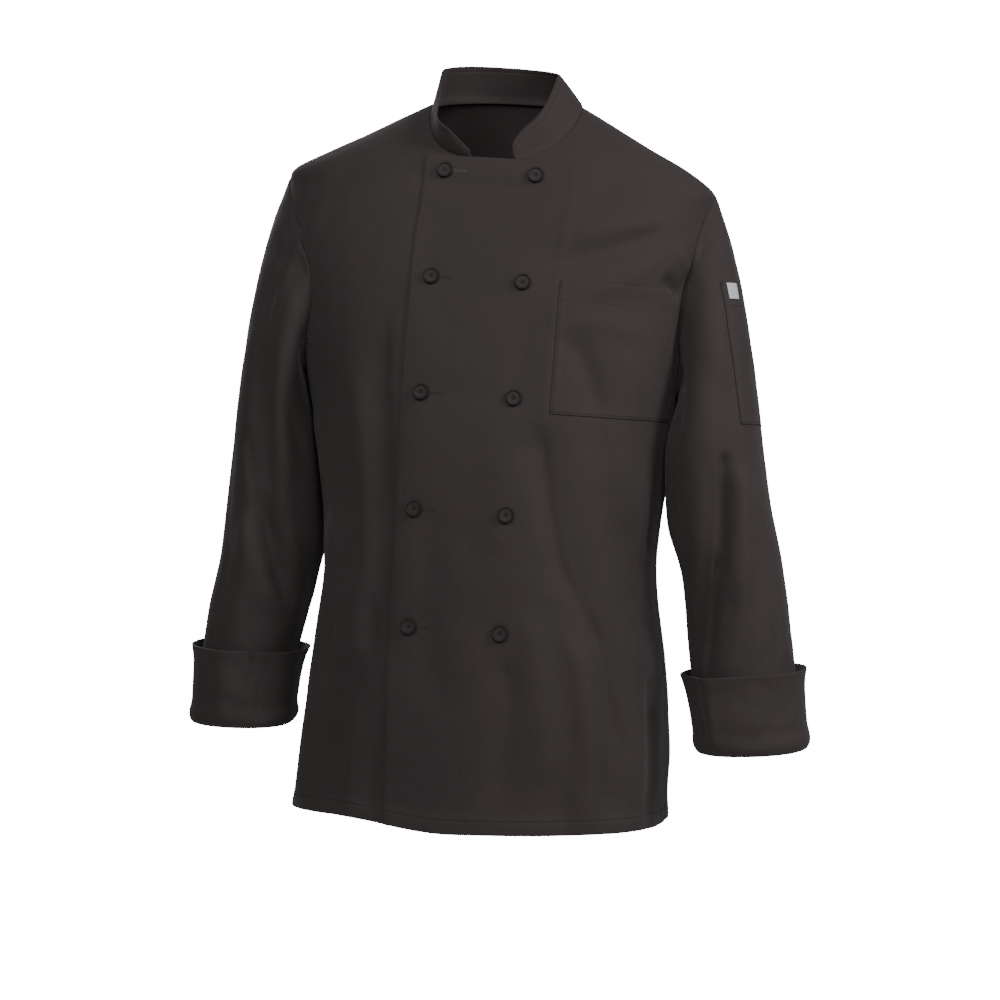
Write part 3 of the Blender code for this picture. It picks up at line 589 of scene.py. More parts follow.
@dataclass
class Grid:
    """A sheet of cloth as rows and columns of points, with the direction out of it at each.

    A tube's last column repeats its first.
    """

    points: Array
    normals: Array
    tube: bool = False
    cells: Array | None = None

    def __post_init__(self) -> None:
        """Fills in the cells of a plain grid."""
        if self.cells is None:
            rows, columns = self.points.shape[:2]
            self.cells = np.ones((rows - 1, columns - 1), bool)

    def run(self, axis: int) -> Array:
        """How far along the cloth each point lies from the first column, or row for axis 0."""
        steps = np.linalg.norm(np.diff(self.points, axis=axis), axis=-1)
        zero = np.zeros_like(np.take(steps, [0], axis=axis))
        return np.concatenate([zero, np.cumsum(steps, axis=axis)], axis=axis)

    def from_rim(self, rim: Rim) -> Array:
        """How far along the cloth each point lies from one of its rims."""
        axis = 0 if rim.is_row else 1
        run = self.run(axis)
        return run if rim.comes_first else np.take(run, [-1], axis=axis) - run

    def part(self, rows: slice, columns: slice) -> Grid:
        """A smaller grid that shares this one's points."""
        return Grid(self.points[rows, columns], self.normals[rows, columns])

    def moved_out(self, distance: Array | float) -> Grid:
        """The same sheet moved out along its normals."""
        away = np.broadcast_to(distance, self.points.shape[:2])[..., None]
        return Grid(self.points + self.normals * away, self.normals, self.tube, self.cells)

    def line(self, rim: Rim, inset: float) -> Line:
        """The line that runs inside one rim, at a distance from it along the cloth."""
        distance = self.from_rim(rim)
        points, normals = self.points, self.normals
        if rim.is_row:
            distance, points, normals = distance.T, points.swapaxes(0, 1), normals.swapaxes(0, 1)
        if not rim.comes_first:
            distance, points, normals = distance[:, ::-1], points[:, ::-1], normals[:, ::-1]
        place = np.array([np.interp(inset, row, np.arange(len(row))) for row in distance])
        low = np.clip(place.astype(int), 0, points.shape[1] - 2)
        share = (place - low)[:, None]
        index = np.arange(len(place))
        on_line = points[index, low] * (1.0 - share) + points[index, low + 1] * share
        out = normals[index, low] * (1.0 - share) + normals[index, low + 1] * share
        return Line(on_line, unit(out))

    def cut_size(self) -> tuple[float, float, float]:
        """The sheet's flat width, length and area, measured along its own cloth."""
        across = np.linalg.norm(np.diff(self.points, axis=1), axis=-1)
        along = np.linalg.norm(np.diff(self.points, axis=0), axis=-1)
        diagonals = np.cross(
            self.points[1:, 1:] - self.points[:-1, :-1],
            self.points[1:, :-1] - self.points[:-1, 1:],
        )
        area = (np.linalg.norm(diagonals, axis=-1) / 2 * self.cells).sum()
        width = across.sum(axis=1).max()
        length = along.sum(axis=0).max()
        return float(width), float(length), float(area)


def sewn_distance(grid: Grid, *lines: tuple[Rim, float]) -> Array:
    """How far each point lies from the nearest of some stitched lines.

    Args:
        grid: the sheet of cloth.
        lines: for each line its rim, and its distance inside it.

    Returns:
        The distance in metres. Its sign changes at each line and nowhere else, so that it is
        nought only on the lines.
    """
    nearest = np.full(grid.points.shape[:2], FAR)
    sign = np.ones_like(nearest)
    for rim, inset in lines:
        distance = grid.from_rim(rim) - inset
        nearest = np.minimum(nearest, np.abs(distance))
        sign = np.where(distance < 0.0, -sign, sign)
    return nearest * sign


def wall_quads(cells: Array, tube: bool) -> Array:
    """Four-sided faces of a closed wall: its outer face, its inner face and its rims."""
    rows, columns = cells.shape
    width = columns + 1
    layer = (rows + 1) * width
    row, col = np.nonzero(cells)
    corners = [row * width + col, row * width + col + 1]
    corners += [(row + 1) * width + col + 1, (row + 1) * width + col]
    quads = [np.stack(corners, axis=1), np.stack(corners[::-1], axis=1) + layer]
    around = np.zeros((rows + 2, columns + 2), bool)
    around[1:-1, 1:-1] = cells
    if tube:
        around[1:-1, 0] = cells[:, -1]
        around[1:-1, -1] = cells[:, 0]
    beyond = ((-1, 0), (0, 1), (1, 0), (0, -1))
    for step, (down, across) in enumerate(beyond):
        bare = ~around[row + 1 + down, col + 1 + across]
        start, end = corners[step][bare], corners[(step + 1) % 4][bare]
        quads.append(np.stack([end, start, start + layer, end + layer], axis=1))
    return np.concatenate(quads)


def new_object(name: str, data: bpy.types.ID) -> bpy.types.Object:
    """An object for this mesh, light or camera, in the scene."""
    obj = bpy.data.objects.new(name, data)
    bpy.context.scene.collection.objects.link(obj)
    return obj


def write_numbers(mesh: bpy.types.Mesh, name: str, values: Array) -> None:
    """Writes one number for each point of a mesh."""
    attribute = mesh.attributes.new(name, "FLOAT", "POINT")
    attribute.data.foreach_set("value", values.astype(np.float32))


def clean(mesh: bpy.types.Mesh, face_out: bool = False) -> None:
    """Joins coincident points, drops loose ones and shades the mesh smooth.

    Args:
        mesh: the mesh to clean.
        face_out: whether its faces are turned to face outward too.
    """
    shape = bmesh.new()
    shape.from_mesh(mesh)
    bmesh.ops.remove_doubles(shape, verts=shape.verts, dist=SAME_PLACE)
    loose = [point for point in shape.verts if not point.link_faces]
    bmesh.ops.delete(shape, geom=loose, context="VERTS")
    if face_out:
        bmesh.ops.recalc_face_normals(shape, faces=shape.faces)
    shape.to_mesh(mesh)
    shape.free()
    mesh.shade_smooth()


@dataclass
class ClothPiece:
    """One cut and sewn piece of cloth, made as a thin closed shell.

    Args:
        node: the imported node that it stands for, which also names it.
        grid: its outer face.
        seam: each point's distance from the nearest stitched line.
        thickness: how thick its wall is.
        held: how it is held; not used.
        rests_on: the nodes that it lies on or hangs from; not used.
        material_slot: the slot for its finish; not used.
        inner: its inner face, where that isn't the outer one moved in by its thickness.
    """

    node: str
    grid: Grid
    seam: Array
    thickness: float = WALL
    held: Held = Held.DRAPED
    rests_on: tuple[str, ...] = ()
    material_slot: str = "cloth"
    inner: Array | None = None

    def tuck(self, rim: Rim, under: Array) -> None:
        """Adds a line of cloth beyond one rim, hidden under its neighbour.

        Args:
            rim: the rim that runs on.
            under: the points of the new line.
        """
        grid = self.grid
        added = (1, 0) if rim.comes_first else (0, 1)
        room = (added, (0, 0)) if rim.is_row else ((0, 0), added)
        points = np.pad(grid.points, (*room, (0, 0)), mode="edge")
        place = 0 if rim.comes_first else -1
        points[(place, slice(None)) if rim.is_row else (slice(None), place)] = under
        normals = np.pad(grid.normals, (*room, (0, 0)), mode="edge")
        self.grid = Grid(points, normals, grid.tube, np.pad(grid.cells, room, mode="edge"))
        self.seam = np.pad(self.seam, room, mode="edge")

    def build(self, material: bpy.types.Material, sewing: list[bpy.types.Object]) -> None:
        """Makes the shell, gives it its cloth coordinates and dresses it.

        Args:
            material: its finish.
            sewing: its stitches, already made; not used.
        """
        grid = self.grid
        inner = self.inner
        if inner is None:
            inner = grid.points - grid.normals * self.thickness
        points = np.concatenate([grid.points.reshape(-1, 3), inner.reshape(-1, 3)])
        quads = wall_quads(grid.cells, grid.tube)
        outer = quads[: int(grid.cells.sum())]
        corners = points[outer]
        facing = np.cross(corners[:, 1] - corners[:, 0], corners[:, 3] - corners[:, 0])
        if (facing * grid.normals.reshape(-1, 3)[outer[:, 0]]).sum() < 0.0:
            quads = quads[:, ::-1]
        mesh = bpy.data.meshes.new(self.node)
        mesh.from_pydata(points.tolist(), [], quads.tolist())
        self.write_cloth_map(mesh, quads)
        write_numbers(mesh, SEAM_ATTRIBUTE, np.tile(self.seam.reshape(-1), 2))
        clean(mesh)
        piece = new_object(f"{self.node}_cloth", mesh)
        mesh.materials.append(material)
        rounding = piece.modifiers.new("rounded_edges", "BEVEL")
        rounding.width = EDGE_ROUNDING
        rounding.segments = 2
        rounding.limit_method = "ANGLE"
        rounding.angle_limit = ROUNDING_ANGLE
        rounding.use_clamp_overlap = True
        self.declare(piece)

    def write_cloth_map(self, mesh: bpy.types.Mesh, quads: Array) -> None:
        """Writes each corner's place on the flat cloth, in metres."""
        across = self.grid.run(1)
        across = across - across[:, across.shape[1] // 2, None]
        along = np.broadcast_to(self.grid.run(0).mean(axis=1, keepdims=True), across.shape)
        place = np.stack([across, along], axis=-1).reshape(-1, 2)
        both = np.concatenate([place, place])
        layer = mesh.uv_layers.new(name=CLOTH_MAP)
        layer.data.foreach_set("uv", both[quads.reshape(-1)].reshape(-1).astype(np.float32))

    def declare(self, piece: bpy.types.Object) -> None:
        """Hangs it on the body, hides the node it stands for and logs the size it was cut to."""
        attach(piece, BODY_NAME)
        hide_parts(self.node)
        width, length, area = self.grid.cut_size()
        area = min(area, 0.999 * width * length)
        LOG.info("%s: flat %.3f x %.3f m, %.4f m2", piece.name, width, length, area)


# ---- The body's panels ----


@dataclass
class Front:
    """One front of the jacket, from its side seam to past the centre front."""

    side: Side
    stops: tuple[float, ...] = (
        POCKET_EDGE, OVERLAP, 0.046, COLLAR_END, 0.0, -COLLAR_END, -0.046, -OVERLAP
    )
    hem_stitch: float = 0.0145
    edge_stitch: float = 0.0062
    edge_curl: float = 0.0003
    curl_reach: float = 0.016
    curl_wave: float = 0.07
    lift_reach: float = 0.060

    @property
    def neck_row(self) -> int:
        """The row of the flap's top."""
        return len(body_heights()) - 1 - NECK_ROWS

    @property
    def collar_column(self) -> int:
        """The column where the collar ends."""
        return self.column_at(COLLAR_END)

    def column_at(self, distance: float) -> int:
        """The column that runs this far from the centre front."""
        return SIDE_COLUMNS + int(np.argmin(np.abs(self.lines() - distance)))

    def lines(self) -> Array:
        """How far its inner columns lie from the centre front."""
        runs = []
        for start, end in zip(self.stops, self.stops[1:]):
            count = max(1, round((start - end) / CLOTH_STEP))
            runs.append(np.linspace(start, end, count + 1)[:-1])
        return np.concatenate([*runs, self.stops[-1:]])

    def grid(self) -> Grid:
        """Its outer face: rows from the hem up, columns in the order of growing angle."""
        heights, even = body_heights(), body_heights(even=True)
        lines = self.lines()
        neck_row, collar_column = self.neck_row, self.collar_column
        low, high = even[: neck_row + 1, None], heights[neck_row + 1 :, None]
        depth = FRONT_EDGES[self.side].depth(down_armhole(heights))
        edge = turn_at_depth(depth, column(BODY, "front", heights))[:, None]
        inner = turn_from_side(lines[None, :], low, self.side)
        share = np.arange(SIDE_COLUMNS) / SIDE_COLUMNS
        outer = edge[: neck_row + 1] + (inner[:, :1] - edge[: neck_row + 1]) * share
        turns = np.concatenate([outer, inner], axis=1)
        last = turns[-1, : collar_column + 1]
        shares = (last - last[0]) / (last[-1] - last[0])
        neck = neck_turn(high, self.side)
        upper = np.repeat(neck, turns.shape[1], axis=1)
        upper[:, : collar_column + 1] = edge[neck_row + 1 :] + (neck - edge[neck_row + 1 :]) * shares
        turns = np.concatenate([turns, upper])
        tall = spread_heights(1.0 - np.arange(turns.shape[1]) / (EDGE_SPREAD * SIDE_COLUMNS))
        cells = np.ones((turns.shape[0] - 1, turns.shape[1] - 1), bool)
        cells[neck_row:, collar_column:] = False
        if self.side is Side.RIGHT:
            turns, tall, cells = math.pi - turns[:, ::-1], tall[:, ::-1], cells[:, ::-1]
            return Grid(body_point(turns, tall), body_normal(turns, tall), cells=cells)
        grid = Grid(body_point(turns, tall), body_normal(turns, tall), cells=cells)
        return grid.moved_out(self.lift(grid))

    def lift(self, grid: Grid) -> Array:
        """How far the flap lies over the other front, and curls at its edge."""
        heights, run = body_heights(even=True), grid.run(1)
        from_edge = run - run[:, self.column_at(OVERLAP), None]
        over = LAY * ease(1.0 + from_edge / self.lift_reach)
        fade = 1.0 - ease((heights - heights[self.neck_row]) / LIFT_FADE)
        near = ease(1.0 - grid.from_rim(Rim.LAST_COLUMN) / self.curl_reach)
        waves = 0.6 + 0.5 * soft_noise(heights / self.curl_wave + 20.0, heights * 0.0, FLAP_SEED)
        return over * fade[:, None] + near * self.edge_curl * (waves * fade)[:, None]

    def flap_top(self, grid: Grid) -> Grid:
        """The part of the left front that the flap's straight top edge ends."""
        return grid.part(slice(0, self.neck_row + 1), slice(self.collar_column, None))

    def seam(self, grid: Grid) -> Array:
        """How far each point lies from the nearest stitched line."""
        joined = Rim.FIRST_COLUMN if self.side is Side.LEFT else Rim.LAST_COLUMN
        return sewn_distance(grid, (Rim.FIRST_ROW, self.hem_stitch), (joined, SEAM_LINE))

    def sewing(self, grid: Grid) -> list[Seam]:
        """Its hem, and on the left front the stitching round the flap."""
        if self.side is Side.RIGHT:
            hidden = grid.points.shape[1] - 1 - self.column_at(OVERLAP)
            open_part = grid.part(slice(None), slice(hidden, None))
            return [Seam(StitchKind.TOPSTITCH, [open_part.line(Rim.FIRST_ROW, self.hem_stitch)])]
        below_neck = grid.part(slice(0, self.neck_row + 1), slice(None))
        edge = below_neck.line(Rim.LAST_COLUMN, self.edge_stitch).cut(end=self.edge_stitch)
        top = self.flap_top(grid).line(Rim.LAST_ROW, self.edge_stitch).cut(end=self.edge_stitch)
        hem = grid.line(Rim.FIRST_ROW, self.hem_stitch)
        return [Seam(StitchKind.TOPSTITCH, [hem, edge, top])]


def under_front() -> Array:
    """How fully the back's edges pass under the fronts, by row: not beside the armholes."""
    heights = body_heights()
    below = ease((UNDERARM_HEIGHT - UNDER_CLEAR - heights) / UNDER_FADE_BELOW)
    above = ease((heights - SHOULDER_HEIGHT - UNDER_CLEAR) / UNDER_FADE_ABOVE)
    above = above * ease((UNDER_NECK - heights) / UNDER_FADE_ABOVE)
    return np.maximum(below, above)[:, None]


def back_piece() -> ClothPiece:
    """The back, with its side edges running on under the fronts."""
    grid = back_grid()
    rims = (Rim.FIRST_COLUMN, Rim.LAST_COLUMN)
    seam = sewn_distance(grid, (Rim.FIRST_ROW, Front.hem_stitch), *((rim, SEAM_LINE) for rim in rims))
    dip = sum(bell(grid.from_rim(rim) / TUCK_REACH) for rim in rims)
    grid = grid.moved_out(-LAY * dip * under_front())
    piece = ClothPiece("back", grid, seam, rests_on=("front_left", "front_right"))
    for rim, edge, inside in ((rims[0], 0, 1), (rims[1], -1, -2)):
        outermost = grid.points[:, edge]
        onward = unit(outermost - grid.points[:, inside])
        piece.tuck(rim, outermost + onward * TUCK * under_front())
    return piece


def back_grid() -> Grid:
    """The back's outer face, from the wearer's right side seam round to the left one."""
    heights = body_heights()
    depth = BACK_EDGE.depth(down_armhole(heights))
    edge = turn_at_depth(depth, column(BODY, "back", heights))[:, None]
    across = np.linspace(0.0, 1.0, BACK_COLUMNS + 1)
    turns = -math.pi + edge + (math.pi - 2 * edge) * across
    tall = spread_heights(1.0 - np.minimum(across, 1.0 - across) / (EDGE_SPREAD / 2))
    return Grid(body_point(turns, tall), body_normal(turns, tall))


# ---- Collar ----


def surface_normals(points: Array, tube: bool, sign: float) -> Array:
    """Directions out of a grid of points, worked out from its neighbours."""
    if tube:
        body = points[:, :-1]
        around = np.roll(body, -1, axis=1) - np.roll(body, 1, axis=1)
        around = np.concatenate([around, around[:, :1]], axis=1)
    else:
        around = np.gradient(points, axis=1)
    return unit(np.cross(around, np.gradient(points, axis=0))) * sign


@dataclass
class Collar:
    """The stand collar: it leans in, falls open at its right end and is rounded at both ends."""

    height: float = 0.036
    end_round: float = 0.034
    end_share: float = 0.25
    top_share: float = 0.78
    middle: float = 0.004
    lean: float = -0.0090
    fall_reach: float = 0.080
    fall: float = 0.42
    fall_gain: float = 0.15
    dip: float = 0.010
    dip_reach: float = 0.110
    rows: int = 16
    stitch: float = 0.0058
    roll: float = 0.0012
    tuck: float = 0.0038
    tuck_rise: float = 0.0030
    tuck_fade: float = 0.010
    end_closed: float = 0.0002
    roll_wave: float = 0.045

    @staticmethod
    def neckline() -> tuple[Array, Array, Array]:
        """The neckline from the right front's end round the back to the left front's: its points,
        the directions out of the cloth and how fully the flap's raised cloth carries it."""
        heights = neck_heights()[:-1]
        edge = turn_at_depth(SEAM_GAP / 2, BODY[-1].back)
        back = -math.pi + edge + (math.pi - 2 * edge) * np.linspace(0.0, 1.0, BACK_COLUMNS + 1)
        right, left = neck_turn(heights, Side.RIGHT), neck_turn(heights, Side.LEFT)
        right[0] = turn_from_side(COLLAR_END, FLAP_TOP, Side.RIGHT)
        left[0] = turn_from_side(COLLAR_END, FLAP_TOP, Side.LEFT)
        turns = np.concatenate([math.pi - right, back, left[::-1]])
        levels = np.concatenate([heights, np.zeros_like(back), heights[::-1]])
        raised = 1.0 - ease((levels - FLAP_TOP) / LIFT_FADE)
        raised[: len(heights) + len(back)] = 0.0
        raised, out = raised[:, None], body_normal(turns, levels)
        return body_point(turns, levels) + out * LAY * raised, out, raised

    def piece(self) -> ClothPiece:
        """The collar's shell, with its own inner face."""
        foot, body_out, raised = self.neckline()
        foot[:, 2] += SEAM_GAP
        steps = np.linalg.norm(np.diff(foot, axis=0), axis=1)
        run = np.concatenate([[0.0], np.cumsum(steps)])
        fall = ease(1.0 - run / self.fall_reach)
        middle = np.array([BODY[-1].middle_x, self.middle, 0.0])
        spread = (self.top_share + self.fall * fall)[:, None]
        top = foot + (foot - middle) * (spread - 1.0) * np.array([1.0, 1.0, 0.0])
        top[:, 0] += self.lean * (1.0 - fall)
        from_end = np.minimum(run, run[-1] - run)
        dip = self.dip * ease(1.0 - from_end / self.dip_reach)
        top[:, 2] += (self.height - dip) * (1.0 + self.fall_gain * fall)
        corner = 1.0 - np.clip(1.0 - from_end / self.end_round, 0.0, 1.0) ** 2
        share = self.end_share + (1.0 - self.end_share) * np.sqrt(corner)
        rows = np.linspace(0.0, 1.0, self.rows + 1)[:, None, None]
        outer = foot + (top - foot) * share[:, None] * rows
        inward = unit((middle - foot) * np.array([1.0, 1.0, 0.0]))
        waves = soft_noise(run / self.roll_wave + 3.0, run * 0.0, COLLAR_SEED) * self.roll
        bulge = (np.sin(math.pi * rows) * 0.8 + rows * 0.6) * waves[:, None]
        tucked = ease(from_end / self.tuck_fade)[:, None]
        low = bell(rows * self.height / self.tuck_rise) * tucked
        outer = outer - inward * bulge * (1.0 - low) + inward * (LAY * low)
        onward = unit(np.cross(body_out, np.gradient(foot, axis=0)))
        onward = onward * -np.sign((onward * inward).sum(-1, keepdims=True))
        under = foot + onward * TUCK - body_out * self.tuck * (1.0 - raised / 2)
        hidden = (outer[0] + inward * self.end_closed) * (1.0 - tucked) + under * tucked
        outer = np.concatenate([hidden[None], outer])
        normals = surface_normals(outer, False, 1.0)
        if (normals.mean(axis=0) * inward).sum() > 0.0:
            normals = -normals
        grid = Grid(outer, normals)
        seam = sewn_distance(grid, (Rim.LAST_ROW, self.stitch), (Rim.FIRST_ROW, SEAM_LINE))
        return ClothPiece(
            "collar", grid, seam, BAND_WALL, Held.FOLDED, ("back", "front_left", "front_right"),
            inner=outer + inward * BAND_WALL,
        )


# ---- Sleeves and cuffs ----

SLEEVE_SQUARENESS = 2.2
SLEEVE_REST_GAP = 0.0018
SLEEVE_REST_ROUND = 0.010
CUFF_ROOM_LENGTH = 0.22
WRIST_SLANT = (0.3, -0.6)
CAP_SINK = 0.03
CAP_SEAM_SHARE = 0.2
CAP_BULGE = 0.35
CAP_CLOSER_ROWS = 1.15
CAP_ARRIVAL = 0.02
CUFF_HEIGHT = 0.082
ARM_GIRTH = 0.063
ARM_FOLD_FADE = 0.06
SLEEVE_END_UP = 0.0027
ARM_WAVE = 0.0010
ARM_RUMPLE = 0.0004
CUFF_RUMPLE = 0.0007
CUFF_ROOM = 0.0006
CUFF_HELD = 0.004
CUFF_FREE_REACH = 0.02
ARM_REACH = 0.2
SEAM_FADE = 0.012


@dataclass(frozen=True)
class ArmRing:
    """One level of a sleeve: its middle, its half width and its half depth."""

    height: float
    middle_x: float
    middle_y: float
    half_width: float
    half_depth: float


@dataclass(frozen=True)
class CuffTurn:
    """One line around a cuff: how far out of the sleeve and how far up its two faces lie."""

    height: float
    outer_out: float
    inner_out: float
    inner_up: float


CUFF_TURNS = (
    # share up the cuff's own line, outer face out, inner face out and up
    CuffTurn(0.0000, -0.0014, -0.0014, 0.0020),
    CuffTurn(0.0034, 0.0020, 0.0012, 0.0022),
    CuffTurn(0.0070, 0.0045, 0.0024, 0.0045),
    CuffTurn(0.0290, 0.0052, 0.0031, 0.0252),
    CuffTurn(0.0540, 0.0068, 0.0047, 0.0502),
    CuffTurn(0.0740, 0.0092, 0.0072, 0.0703),
    CuffTurn(0.0860, 0.0120, 0.0100, CUFF_HEIGHT + 0.0003),
)
CUFF_OUTER_UP = (0.0, 0.0, 0.0030, 0.0250, 0.0500, 0.0700, CUFF_HEIGHT)


@dataclass
class Arm:
    """One sleeve with its cuff.

    Args:
        side: the arm it is on.
        cap_reach: how far its cap swells outward.
        cap_end: the height where the cap ends.
        lower_end: the height of its folded end.
        rings: its levels.
        creases: its folds.
        cuff_creases: the folds of its cuff.
        seed: the number that picks its rumples.
        cuff_rows: how many rows of cloth its cuff has.
    """

    side: Side
    cap_reach: float
    cap_end: float
    lower_end: float
    rings: tuple[ArmRing, ...]
    creases: tuple[Crease, ...]
    cuff_creases: tuple[Crease, ...]
    seed: int
    cuff_rows: int = 40

    def frame(self, height: Array) -> tuple[Array, Array, Array, Array]:
        """The sleeve's middle, the way up it, and its directions outward and to the front."""
        x = column(self.rings, "middle_x", height)
        y = column(self.rings, "middle_y", height)
        above = height + SMALL_STEP
        x_slope = (column(self.rings, "middle_x", above) - x) / SMALL_STEP
        y_slope = (column(self.rings, "middle_y", above) - y) / SMALL_STEP
        level = ease((self.cap_end - height) / (self.cap_end - self.lower_end))
        x_slope = x_slope * (1.0 - (1.0 - WRIST_SLANT[0]) * level)
        y_slope = y_slope * (1.0 - (1.0 - WRIST_SLANT[1]) * level)
        axis = unit(np.stack([x_slope, y_slope, np.ones_like(x)], axis=-1))
        ahead = np.array([0.0, -1.0, 0.0])
        front = unit(ahead - axis * (axis @ ahead)[..., None])
        return np.stack([x, y, height], axis=-1), axis, np.cross(axis, front) * self.side.value, front

    def point(self, angle: Array, height: Array, out: Array | float = 0.0) -> Array:
        """The sleeve's outer face at an angle around the arm, or a place out from it."""
        angle, height = np.broadcast_arrays(angle, height)
        middle, _, outward, front = self.frame(height)
        power = 2.0 / SLEEVE_SQUARENESS
        across = column(self.rings, "half_width", height) + out
        ahead = column(self.rings, "half_depth", height) + out
        point = middle + outward * (across * signed_power(np.cos(angle), power))[..., None]
        return point + front * (ahead * signed_power(np.sin(angle), power))[..., None]

    def armhole(self, angle: Array) -> tuple[Array, Array]:
        """The armhole's edge and its normal, at angles around the arm."""
        height = ARMHOLE_MIDDLE + ARMHOLE_HALF * np.cos(angle)
        down = np.minimum(angle, 2 * math.pi - angle) / math.pi
        front = angle < math.pi
        depth = np.where(front, FRONT_EDGES[self.side].depth(down), BACK_EDGE.depth(down))
        reach = np.where(front, column(BODY, "front", height), column(BODY, "back", height))
        turn = turn_at_depth(depth, reach) * np.where(front, 1.0, -1.0)
        if self.side is Side.RIGHT:
            turn = np.where(front, math.pi - turn, -math.pi - turn)
        return body_point(turn, height), body_normal(turn, height)

    def around_armhole(self) -> tuple[Array, Array, Array]:
        """The armhole's edge, its normals and the way from it into the opening."""
        edge, normal = self.armhole(np.minimum(self.angles(), 2 * math.pi - 1e-9))
        edge[-1], normal[-1] = edge[0], normal[0]
        around = edge[:-1]
        tangent = unit(np.roll(around, -1, axis=0) - np.roll(around, 1, axis=0))
        tangent = np.concatenate([tangent, tangent[:1]])
        return edge, normal, unit(np.cross(normal, tangent)) * self.side.value

    def beside_body(self, points: Array, gap: Array | float) -> Array:
        """The same points, kept softly outside the body by the given gap."""
        sign = self.side.value
        height = points[..., 2] + sign * ARM_REACH * column(BODY, "drop", points[..., 2])
        away = points[..., 1] - column(BODY, "middle_y", height)
        reach = np.where(away < 0.0, column(BODY, "front", height), column(BODY, "back", height))
        share = np.clip(np.abs(away) / reach, 0.0, 1.0) ** BODY_SQUARENESS
        half = column(BODY, "half_width", height) * (1.0 - share) ** (1.0 / BODY_SQUARENESS)
        limit = sign * column(BODY, "middle_x", height) + half + gap
        outward = sign * points[..., 0]
        pushed = (outward + limit + np.sqrt((outward - limit) ** 2 + SLEEVE_REST_ROUND**2)) / 2
        result = points.copy()
        result[..., 0] = sign * np.where(half > 0.0, pushed, outward)
        return result

    def rest_gap(self, height: Array, out: Array | float = 0.0) -> Array:
        """How far the sleeve, or what is turned out from it, keeps from the body at a height."""
        room = CUFF_TURNS[-1].outer_out * ease((self.cap_end - height) / CUFF_ROOM_LENGTH)
        return SLEEVE_REST_GAP + room - out

    def angles(self) -> Array:
        """Angles around the arm, the last the same place as the first."""
        return np.arange(ARM_COLUMNS + 1) * 2 * math.pi / ARM_COLUMNS

    def relief(self, angle: Array, height: Array) -> Array:
        """How far creases and rumples lift the sleeve's cloth."""
        rise = creases_rise(self.creases, ARM_GIRTH, angle, height)
        around = np.stack([np.cos(angle), np.sin(angle)]) * 1.3
        worn = soft_noise(around[0] + 5.0 + height / 0.10, around[1] + 9.0, self.seed)
        finer = around * 2.6
        small = soft_noise(finer[0] + height / 0.03, finer[1] - height / 0.05, self.seed + 1)
        return rise + worn * ARM_WAVE + ARM_RUMPLE * small

    def grid(self) -> Grid:
        """The sleeve's outer face: rows from the armhole to the wrist, columns round the arm."""
        sign = self.side.value
        angles = self.angles()
        edge, edge_normal, onward = self.around_armhole()
        start = edge + onward * SLEEVE_SEAM_GAP
        cap_end = self.point(angles, np.full_like(angles, self.cap_end))
        below = self.point(angles, np.full_like(angles, self.cap_end - CAP_ARRIVAL))
        span = np.linalg.norm(cap_end - start, axis=-1, keepdims=True)
        sideways, ahead = np.full_like(angles, self.cap_reach * sign), -CAP_BULGE * np.sin(angles)
        leave = unit(np.stack([sideways, ahead, np.full_like(angles, -1.0)], axis=-1)) * span
        arrive = unit(below - cap_end) * span
        steps = (np.linspace(0.0, 1.0, CAP_ROWS + 1) ** CAP_CLOSER_ROWS)[:, None, None]
        cap = start * (1.0 - ease(steps)) + cap_end * ease(steps)
        cap = cap + leave * steps * (1.0 - steps) ** 2 + arrive * steps**2 * (steps - 1.0)
        heights = np.linspace(self.cap_end, self.lower_end + SLEEVE_END_UP, FOREARM_ROWS + 1)[1:]
        points = np.concatenate([cap, self.point(angles[None, :], heights[:, None])])
        rise = self.relief(angles[None, :], points[..., 2])
        rise = rise * ease((points[..., 2] - self.lower_end) / ARM_FOLD_FADE - 1.0)
        from_start = np.linalg.norm(points - points[:1], axis=-1)
        rise = rise * ease(from_start / SEAM_FADE)
        points = points + surface_normals(points, True, sign) * rise[..., None]
        from_seam = ease(steps[:, :, 0] / CAP_SEAM_SHARE)
        gaps = np.concatenate([
            SLEEVE_REST_GAP * from_seam - CAP_SINK * (1.0 - from_seam),
            self.rest_gap(heights[:, None]),
        ])
        outer = self.beside_body(points, gaps)
        outer[0] = start
        normals = surface_normals(outer, True, sign)
        shared = np.clip((normals[0] * edge_normal).sum(-1, keepdims=True), 0.0, 1.0) ** 0.5
        normals[0] = unit(normals[0] * (1.0 - shared) + edge_normal * shared)
        dip = LAY * bell(from_start / TUCK_REACH)
        return Grid(outer - edge_normal * dip[..., None], normals, tube=True)

    def sleeve(self, grid: Grid) -> ClothPiece:
        """The sleeve as a piece, with its head running on under the body's cloth."""
        seam = sewn_distance(grid, (Rim.FIRST_ROW, SEAM_LINE))
        word = self.side.word
        piece = ClothPiece(f"sleeve_{word}", grid, seam, rests_on=(f"front_{word}", "back"))
        edge, normal, onward = self.around_armhole()
        piece.tuck(Rim.FIRST_ROW, edge - onward * TUCK - normal * (LAY + 0.0001))
        return piece

